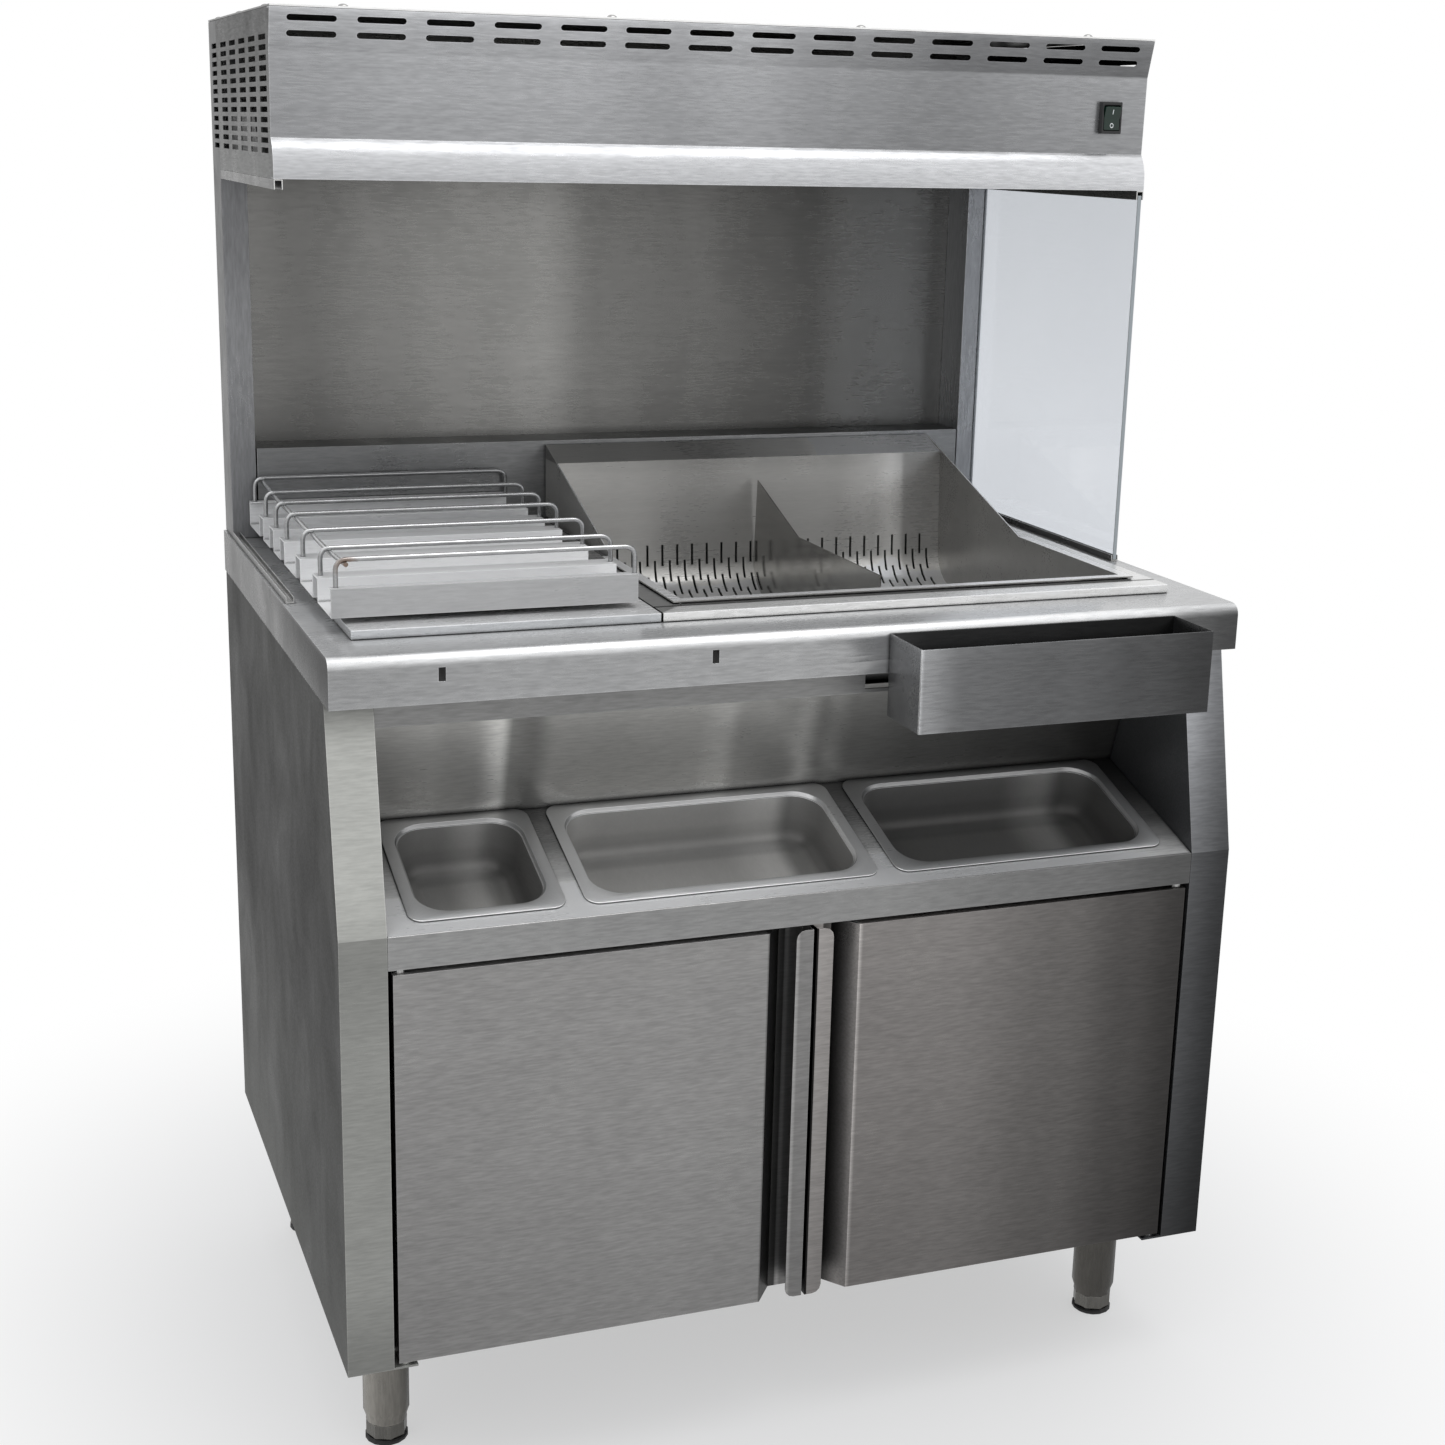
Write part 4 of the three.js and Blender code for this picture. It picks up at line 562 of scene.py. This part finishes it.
# Doors. Two folded skins of brushed sheet, each with an upright finger grip and handle flange towards
# the middle, closed behind by an inner skin, and hung on steel pins above and below.
# Painted light and shade: a share by side, lighter higher up, dark recess and bright edges at each grip.
door_turned = {"front": 1.0, "left": 0.35, "right": 0.6, "back": 0.5, "up": 2.2, "down": 0.3}
left_door = brushed_steel("left door steel", 0.275, (1.0, 0.985, 0.97), "X", 0.32, door_turned,
                          fades=[("Z", [(0.158, 0.9), (0.4, 1.0), (0.584, 1.05)]),
                                 ("X", [(-0.0535, 1.0), (-0.0505, 0.3), (-0.0235, 0.22), (-0.0215, 1.0),
                                        (-0.0195, 1.2), (-0.016, 0.78), (-0.003, 0.78)])])
# The right door is painted darker overall and towards its right edge, as shade.
right_door = brushed_steel("right door steel", 0.187, (1.0, 0.95, 0.92), "X", 0.32, door_turned,
                           fades=[("X", [(0.003, 0.05), (0.0036, 0.05), (0.0043, 1.6), (0.02, 1.45),
                                         (0.022, 0.25), (0.031, 0.4), (0.045, 2.6), (0.051, 2.2),
                                         (0.056, 1.1)]),
                                  ("X", [(0.15, 1.0), (0.3, 0.62), (0.38, 0.36), (0.447, 0.2)]),
                                  ("Z", [(0.158, 0.8), (0.45, 1.0), (0.584, 1.15)])])
dress("left_door", left_door, 0.0008)
dress("right_door", right_door, 0.0008)
inner_skin = brushed_steel("inner skin steel", 0.16, grain="X", roughness=0.38, turned=inside)
pin_steel = brushed_steel("pin steel", 0.4, grain="Z", roughness=0.25)
for side in ("left", "right"):
    dress(f"{side}_door_inner_skin", inner_skin, 0.0003)
    for end in ("lower", "upper"):
        dress(f"{side}_door_{end}_pivot", pin_steel, 0.0003)
dress("door_catch", moulded_plastic("black catch", (0.02, 0.02, 0.02)))

# Legs and feet. Stainless steel tubes that narrow at the lower end, each over an adjustable foot with
# eight flats that stands on a black pad.
# Painted light and shade on legs and feet: a share for each side a face turns to, legs darker to the
# right.
leg_turned = {"front": 0.8, "left": 1.5, "right": 0.08, "back": 0.5, "up": 1.2, "down": 0.3}
leg_steel = brushed_steel("leg steel", 0.24, (1.0, 0.95, 0.86), "Z", 0.25, leg_turned, metal=0.5,
                          fades=[("X", [(-0.44, 1.2), (0.44, 0.42)])])
foot_turned = {"front": 0.8, "left": 1.2, "right": 0.4, "back": 0.5, "up": 1.2, "down": 0.3}
foot_steel = brushed_steel("foot steel", 0.18, (1.0, 0.97, 0.9), "Z", 0.28, foot_turned)
pad_rubber = moulded_plastic("black pad", (0.012, 0.012, 0.012), 0.6)
for row in ("front", "rear"):
    for side in ("left", "right"):
        smooth_copy(f"{row}_{side}_leg", "station", leg_steel, 40)
        dress(f"{row}_{side}_foot", foot_steel, 0.0006)
        dress(f"{row}_{side}_foot_pad", pad_rubber, 0)

# Bin. A long open box of folded brushed sheet with welded corners, which hangs in the slots of the
# worktop's skirt by two hooks; its left end is painted bright, its inside painted dark and its front
# darker towards the right, as light and shade.
bin_turned = {"front": 0.9, "left": 6.6, "right": 0.4, "back": 0.6, "up": 2.5, "down": 0.5}
bin_steel = brushed_steel("bin steel", 0.15, (0.98, 0.99, 1.01), "X", 0.25, bin_turned,
                          fades=[("X", [(0.0805, 2.5), (0.0825, 2.5), (0.084, 1.8), (0.13, 1.05),
                                        (0.25, 0.9), (0.34, 0.62), (0.42, 0.36)]),
                                 ("Y", [(-0.389, 1.0), (-0.3868, 1.0), (-0.3855, 0.12), (-0.307, 0.12)])])
smooth_copy("hanging_bin", "bin", bin_steel)

# Rack base plate. A shallow tray of folded brushed sheet, turned over and set on the worktop at the
# left, which carries the rack.
# Painted light and shade on the plate: a share by side, painted edge highlights and contact shade.
plate_turned = {"front": 0.85, "left": 0.5, "right": 0.08, "back": 0.5, "up": 1.7, "down": 0.3}
plate_steel = brushed_steel("base plate steel", 0.8, (0.97, 0.99, 1.01), "X", 0.27, plate_turned,
                            metal=0.45, edge_highlight=0.9, contact_shade=0.006)
dress("rack_base_plate", plate_steel, 0.0009)

# Rack. A long sheet of stainless steel folded into ridges and troughs that hold filled cartons, pale
# and evenly brushed; it stands loose on its base plate.
# Painted light and shade on the rack: a share by side, the front wall darker, and contact shade.
rack_turned = {"front": 1.15, "left": 0.8, "right": 0.5, "back": 0.5, "up": 1.5, "down": 0.3}
rack_steel = brushed_steel("rack steel", 0.88, (0.99, 0.99, 0.99), "X", 0.33, rack_turned, metal=0.2,
                           lines=0.06, contact_shade=0.005,
                           fades=[("Y", [(-0.2085, 0.48), (-0.2075, 0.48), (-0.206, 1.0), (0.32, 0.9)])])
dress("fry_rack", rack_steel, 0.0004)

# Wire guard. Seven loops of 5 mm stainless wire welded upright on the ridges, tied by one wire below
# their bends; the front weld is browned by the heat.
wire_radius = 0.0025
loops = ((-0.2025, 0.946), (-0.119, 0.942), (-0.016, 0.942), (0.087, 0.942), (0.161, 0.942),
         (0.235, 0.942), (0.3185, 0.946))  # each loop's depth and its ridge's height
loop_left, loop_right = -0.471, -0.1615
weld_gap, loop_rise, loop_bend = 0.0003, 0.0278, 0.012
link_across, link_front, link_rear = -0.461, -0.206, 0.321
link_rise, link_bend = 0.0232, 0.01
front_weld = (link_across, -0.2, 0.9692)
bend_steps = 8
# Painted light and shade on the wires: tops much lighter, undersides and right sides dark.
wire_turned = {"front": 0.75, "left": 0.5, "right": 0.2, "back": 0.3, "up": 2.3, "down": 0.1}
wire_steel = brushed_steel("wire steel", 0.5, (0.98, 0.99, 1.0), "X", 0.2, wire_turned, edge_highlight=0,
                           burnt=front_weld)


def bend_wire(name, points, bend):
    """A round wire through the points, with a bend of the given radius at each inner one."""
    path = []
    for index, point in enumerate(points):
        spot = Vector(point)
        if index in (0, len(points) - 1):
            path.append(spot)
            continue
        before = (Vector(points[index - 1]) - spot).normalized()
        after = (Vector(points[index + 1]) - spot).normalized()
        for step in range(bend_steps + 1):
            share = step / bend_steps
            path.append(spot + before * bend * (1 - share) ** 2 + after * bend * share ** 2)
    curve = bpy.data.curves.new(name, "CURVE")
    curve.dimensions = "3D"
    curve.bevel_depth = wire_radius
    curve.bevel_resolution = 3
    curve.use_fill_caps = True
    line = curve.splines.new("POLY")
    line.points.add(len(path) - 1)
    for point, spot in zip(line.points, path):
        point.co = (*spot, 1)
    wire = bpy.data.objects.new(name, curve)
    bpy.context.scene.collection.objects.link(wire)
    bpy.ops.object.select_all(action="DESELECT")
    bpy.context.view_layer.objects.active = wire
    wire.select_set(True)
    bpy.ops.object.convert(target="MESH")
    return bpy.context.object


wires = []
for number, (depth, seat) in enumerate(loops):
    low, high = seat + weld_gap, seat + loop_rise
    corners = [(loop_left, depth, low), (loop_left, depth, high), (loop_right, depth, high),
               (loop_right, depth, low)]
    wires.append(bend_wire(f"wire_loop_{number}", corners, loop_bend))
link = [(link_across, depth, seat + link_rise) for depth, seat in loops]
link[0] = (link_across, link_front, link[0][2])
link[-1] = (link_across, link_rear, link[-1][2])
wires.append(bend_wire("link_wire", link, link_bend))
bpy.ops.object.select_all(action="DESELECT")
for wire in wires:
    wire.select_set(True)
bpy.context.view_layer.objects.active = wires[0]
bpy.ops.object.join()
guard = bpy.context.object
guard.name = "wire_guard"
bpy.ops.object.shade_smooth_by_angle(angle=round_crease)
guard.data.materials.append(wire_steel)
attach(guard, "rack")
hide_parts("rack_wire_guards")

# Scuttle frame. Four folded sides of brushed sheet, mitred and welded at the corners, round the well of
# the dump tray; the front side has a painted highlight on its outer edge and the painted shadow of its
# step.
# Painted light and shade: a share by side, darker on the left and back of a mitre line, bright along it.
frame_turned = {"front": 1.15, "left": 0.08, "right": 0.3, "back": 0.4, "up": 1.15, "down": 0.3}
frame_steel = brushed_steel("scuttle frame steel", 0.82, (1.0, 0.995, 0.98), "X", 0.26, frame_turned,
                            metal=0.45, edge_highlight=0.8, contact_shade=0.005,
                            fades=[("mitre", [(0.0, 0.42), (0.0945, 0.42), (0.0965, 1.15), (0.0985, 1.0),
                                              (0.7, 1.05)]),
                                   ("Y", [(-0.2382, 1.0), (-0.2374, 1.5), (-0.2355, 0.95), (-0.2125, 0.95),
                                          (-0.2105, 0.08), (-0.207, 0.08), (-0.2055, 0.95),
                                          (0.33, 0.95)])])
dress("scuttle_frame", frame_steel, 0.0009)

# Well. A drawn sump of thin stainless steel below the tray that keeps crumbs and fat, welded into the
# frame; it is painted dark, and darker by side, as the shade in the gap round the tray.
well_steel = brushed_steel("well steel", 0.12, grain="X", roughness=0.35, turned=inside)
dress("scuttle_well", well_steel, 0)

# Dump tray and divider. A perforated bottom that sweeps up into the leaning back, between two upright
# ends, and a bent plate that parts it; both lift out. The tray is brushed across; painted light and shade
# make it lighter low down, near its right end and on faces turned up, and its top strip lighter to the
# right.
tray_turned = {"front": 1.0, "left": 0.76, "right": 0.85, "back": 0.5, "up": 3.0, "down": 0.3}
tray_steel = brushed_steel("tray steel", 0.45, (1.0, 0.985, 0.95), "X", 0.3, tray_turned, lines=0.04,
                           metal=0.5, edge_highlight=0,
                           fades=[("Z", [(0.812, 1.5), (0.83, 1.35), (0.86, 1.05), (0.95, 0.9),
                                         (1.0, 0.7)]),
                                  ("X", [(-0.11, 1.4), (-0.02, 1.2), (0.08, 0.85), (0.16, 0.95),
                                         (0.27, 1.05), (0.32, 1.35), (0.35, 1.9), (0.36, 1.7),
                                         (0.37, 0.95), (0.43, 0.95)]),
                                  ("X", [(-0.11, 0.45), (0.1, 0.6), (0.22, 0.9), (0.3, 1.7),
                                         (0.36, 1.9)], (0.9855, 0.9865))])
smooth_copy("dump_tray", "tray", tray_steel, ease=0)
divider_steel = brushed_steel("divider steel", 0.46, (1.0, 0.99, 0.96), "Y", 0.12, lines=0.03, metal=0.9,
                              edge_highlight=0)
dress("tray_divider", divider_steel, 0.0004)

# Upstand, rear panel and posts. The posts stand behind the worktop and carry the canopy; the panel
# between them carries painted upright reflections, one broad and bright, and the upstand's ledge is
# painted dark as shade.
upstand_turned = {"front": 1.0, "left": 0.5, "right": 0.5, "back": 0.5, "up": 0.5, "down": 0.3}
upstand_steel = brushed_steel("upstand steel", 0.27, (0.98, 0.99, 1.0), "X", 0.3, upstand_turned)
dress("rear_upstand", upstand_steel)
back_steel = brushed_steel("rear panel steel", 0.235, (1.0, 0.99, 0.955), "X", 0.26, lines=0.05,
                           clouds=0.08,
                           fades=[("X", [(-0.47, 0.9), (-0.4, 0.72), (-0.3, 1.0), (-0.22, 1.15),
                                         (-0.16, 1.2), (-0.1, 1.35), (-0.02, 0.85), (0.1, 0.68),
                                         (0.2, 0.5), (0.27, 0.42), (0.33, 0.62), (0.4, 0.66),
                                         (0.43, 0.6), (0.47, 0.9)])])
dress("rear_panel", back_steel)
# Painted light and shade on the posts: a share by side, the left post lighter low down and darker overall.
left_post_turned = {"front": 1.0, "left": 0.35, "right": 0.7, "back": 0.5, "up": 1.0, "down": 0.3}
left_post = brushed_steel("left post steel", 0.2, (0.98, 0.99, 1.02), "Z", 0.3, left_post_turned,
                          fades=[("Z", [(0.9, 1.5), (1.1, 1.25), (1.3, 0.95), (1.5, 0.9)])])
dress("left_post", left_post)
right_post_turned = {"front": 1.15, "left": 1.4, "right": 0.7, "back": 0.5, "up": 1.0, "down": 0.3}
right_post = brushed_steel("right post steel", 0.3, (0.97, 0.99, 1.03), "Z", 0.3, right_post_turned)
dress("right_post", right_post)

# Canopy. A folded hood with two staggered rows of vents above a flat front and a rolled nose with a
# painted highlight, closed by slotted ends, a loose top cover and the base that holds the heaters.
# Painted light and shade on the hood: bright bands on nose and top fold, reflections across the face.
hood_turned = {"front": 1.0, "left": 0.6, "right": 0.6, "back": 0.4, "up": 1.2, "down": 0.4}
hood_steel = brushed_steel("hood steel", 0.32, (0.985, 0.995, 1.02), "X", 0.27, hood_turned,
                           fades=[("Z", [(1.333, 1.4), (1.342, 1.6), (1.356, 1.72), (1.364, 1.4),
                                         (1.369, 1.25), (1.3715, 0.9), (1.44, 1.0), (1.456, 1.08),
                                         (1.4585, 0.9), (1.47, 1.0), (1.49, 1.15), (1.497, 1.5)]),
                                  ("X", [(-0.5, 1.1), (0.1, 1.15), (0.5, 1.35)]),
                                  ("X", [(-0.5, 1.0), (-0.43, 1.02), (-0.36, 1.1), (-0.2, 1.16),
                                         (-0.08, 1.0), (0.0, 1.08), (0.1, 0.88), (0.25, 0.7),
                                         (0.36, 0.76), (0.45, 0.8), (0.5, 0.82)], (1.3705, 1.372)),
                                  ("X", [(-0.5, 1.1), (0.0, 1.05), (0.15, 0.9), (0.3, 0.66), (0.5, 0.5)],
                                   (1.4575, 1.459))])
smooth_copy("canopy_hood", "station", hood_steel, ease=0)
# Painted shade on the canopy ends: darker towards the top.
end_steel = brushed_steel("canopy end steel", 0.155, (0.99, 1.0, 0.98), "Y", 0.3, edge=0.5,
                          fades=[("Z", [(1.33, 1.35), (1.39, 1.0), (1.45, 0.5), (1.5, 0.3)])])
dress("canopy_left_end", end_steel, 0)
dress("canopy_right_end", end_steel, 0)
# Painted light on the cover: its front face much lighter, a share for each side a face turns to.
cover_turned = {"front": 2.2, "left": 0.5, "right": 0.5, "back": 0.5, "up": 1.2, "down": 0.3}
cover_steel = brushed_steel("canopy cover steel", 0.4, grain="X", roughness=0.3, turned=cover_turned)
dress("canopy_top_cover", cover_steel, 0.0004)
# Painted light and shade on the base and the heater guard: a share for each side a face turns to.
base_turned = {"front": 0.8, "left": 0.6, "right": 0.6, "back": 0.5, "up": 0.8, "down": 0.6}
base_steel = brushed_steel("canopy base steel", 0.3, grain="X", roughness=0.35, turned=base_turned)
dress("canopy_base", base_steel, 0)

# Cover screws. Ten stainless dome heads that hold the loose cover down along its front and its two
# ends; only those at the front and the left can be seen from the front.
cover_top = 1.5
screw_radius, screw_sunk, screw_flattened = 0.0055, 0.0005, 0.62
front_screws, front_screw_depth = (-0.4219, -0.1422, 0.1395, 0.4179), -0.045
side_screws, side_screw_across = (0.02, 0.195, 0.36), 0.488
screw_steel = brushed_steel("screw steel", 0.45, grain="X", roughness=0.22, lines=0.03, edge_highlight=0)


def dome_screw(name, x, y):
    def ball():
        bpy.ops.mesh.primitive_uv_sphere_add(segments=20, ring_count=12, radius=screw_radius,
                                             location=(x, y, cover_top - screw_sunk))

    head = start_shape(ball, name)
    pick(lambda vert: vert.co.z < cover_top - screw_sunk / 2, "VERT")
    bpy.ops.mesh.delete(type="VERT")
    bpy.ops.mesh.select_all(action="SELECT")
    bpy.ops.transform.resize(value=(1, 1, screw_flattened), center_override=(x, y, cover_top))
    pick(lambda edge: edge.is_boundary, "EDGE")
    bpy.ops.mesh.fill()
    finish_shape(head, "station", screw_steel)


for number, across_at in enumerate(front_screws):
    dome_screw(f"front_cover_screw_{number}", across_at, front_screw_depth)
for number, depth_at in enumerate(side_screws):
    dome_screw(f"left_cover_screw_{number}", -side_screw_across, depth_at)
    dome_screw(f"right_cover_screw_{number}", side_screw_across, depth_at)

# Heaters and guard. Two tubes of frosted quartz across the canopy, held in its base behind a slotted
# guard plate of brushed sheet.
quartz = moulded_plastic("frosted quartz", (0.75, 0.73, 0.7), 0.3)
for row in ("front", "rear"):
    dress(f"{row}_heater_tube", quartz, 0)
dress("heater_guard", base_steel, 0)

# Switch. A black moulded housing clipped into the hood with a green rocker, whose two slopes carry the
# printed marks I and O.
rocker_pivot = (0.4505, -0.05, 1.413)
rocker_rest = math.radians(7)
ridge_out = 0.004  # from the pivot to the top of the rocker's ridge
slope_out, slope_length = 0.0019, 0.0129
bar_size, bar_edge, bar_at = (0.0011, 0.0003, 0.0052), 0.0001, 0.0072
ring_radius, ring_stroke, ring_stretch, ring_at = 0.0019, 0.00042, (1.0, 0.5, 1.2), -0.0078
dress("switch_housing", moulded_plastic("black housing", (0.013, 0.013, 0.014), 0.3), 0.0008)
dress("switch_rocker", moulded_plastic("green rocker", (0.0, 0.016, 0.009), 0.3, 0.1), 0.0012)
mark_paint = moulded_plastic("white print", (0.75, 0.78, 0.78), 0.5)


def print_mark(name, add, finish, height):
    """Sets a mark on the rocker's upper or lower slope, at a height from its pivot."""
    mark = start_shape(add, name)
    bpy.ops.mesh.select_all(action="SELECT")
    finish()
    bpy.ops.object.mode_set(mode="OBJECT")
    slope = math.atan2(slope_out, slope_length) * (-1 if height < 0 else 1)
    on_slope = Matrix.Translation((0, -ridge_out - slope_out * abs(height) / slope_length, height))
    mark.matrix_world = (Matrix.Translation(rocker_pivot) @ Matrix.Rotation(rocker_rest, 4, "X") @ on_slope
                         @ Matrix.Rotation(slope, 4, "X"))
    finish_shape(mark, "rocker", mark_paint)


def bar():
    bpy.ops.mesh.primitive_cube_add(size=1, location=(0, 0, 0))
    bpy.context.object.scale = bar_size


def ring():
    bpy.ops.mesh.primitive_torus_add(major_radius=ring_radius, minor_radius=ring_stroke,
                                     major_segments=24, minor_segments=8, rotation=(math.pi / 2, 0, 0))


print_mark("on_mark", bar, lambda: bpy.ops.mesh.bevel(offset=bar_edge, segments=2, affect="EDGES"), bar_at)
print_mark("off_mark", ring, lambda: bpy.ops.transform.resize(value=ring_stretch), ring_at)

# Glass and its channels. Steel channels on the worktop and below the canopy hold a pane of pale
# tempered glass with ground edges at the right; the left pair stands empty.
# Painted light and shade on the channels: a share by side, and painted edge highlights.
channel_turned = {"front": 1.2, "left": 0.4, "right": 0.6, "back": 0.5, "up": 2.0, "down": 0.4}
channel_steel = brushed_steel("channel steel", 0.42, grain="Y", roughness=0.28, edge_highlight=0.8,
                              turned=channel_turned)
for side in ("left", "right"):
    dress(f"{side}_lower_glass_rail", channel_steel, 0.0003)
    dress(f"{side}_upper_glass_rail", channel_steel, 0.0003)


def pale_glass():
    """Tempered glass that looks pale blue, painted darker towards the canopy as its shade, and smeared a
    little, with dull ground edges."""
    glass = bpy.data.materials.new("pale glass")
    glass.use_nodes = True
    tree = glass.node_tree
    tree.nodes.clear()
    place = add_node(tree, "TexCoord").outputs["Object"]
    smear = add_node(tree, "TexNoise", {"Vector": place, "Scale": 5.0, "Detail": 4.0}).outputs[0]
    tone = add_node(tree, "ValToRGB", {"Fac": smear})
    tone.color_ramp.elements[0].position = 0.35
    tone.color_ramp.elements[0].color = (0.765, 0.795, 0.84, 1)
    tone.color_ramp.elements[1].position = 0.7
    tone.color_ramp.elements[1].color = (0.785, 0.815, 0.86, 1)
    height = add_node(tree, "SeparateXYZ", {0: place}).outputs[2]
    shade = map_range(tree, height, 1.05, 1.34, 1.0, 0.84)
    shaded = add_node(tree, "Mix", {0: 1.0, 6: tone.outputs["Color"], 7: shade}, data_type="RGBA",
                      blend_type="MULTIPLY").outputs[2]
    rough = map_range(tree, smear, 0.0, 1.0, 0.03, 0.1)
    clear = add_node(tree, "BsdfPrincipled", {"Base Color": shaded, "Roughness": rough,
                                              "IOR": 1.5, "Transmission Weight": 1.0})
    ground = add_node(tree, "BsdfPrincipled", {"Base Color": (0.42, 0.46, 0.48, 1), "Roughness": 0.6})
    normal = add_node(tree, "NewGeometry").outputs["True Normal"]
    sideways = add_node(tree, "SeparateXYZ", {0: normal}).outputs[0]
    broad = add_node(tree, "Math", {0: sideways}, operation="ABSOLUTE").outputs[0]
    share = map_range(tree, broad, 0.85, 0.95)
    mixed = add_node(tree, "MixShader", {0: share, 1: ground.outputs[0], 2: clear.outputs[0]})
    add_node(tree, "OutputMaterial", {"Surface": mixed.outputs[0]})
    return glass


dress("right_side_glass", pale_glass(), 0.0008)
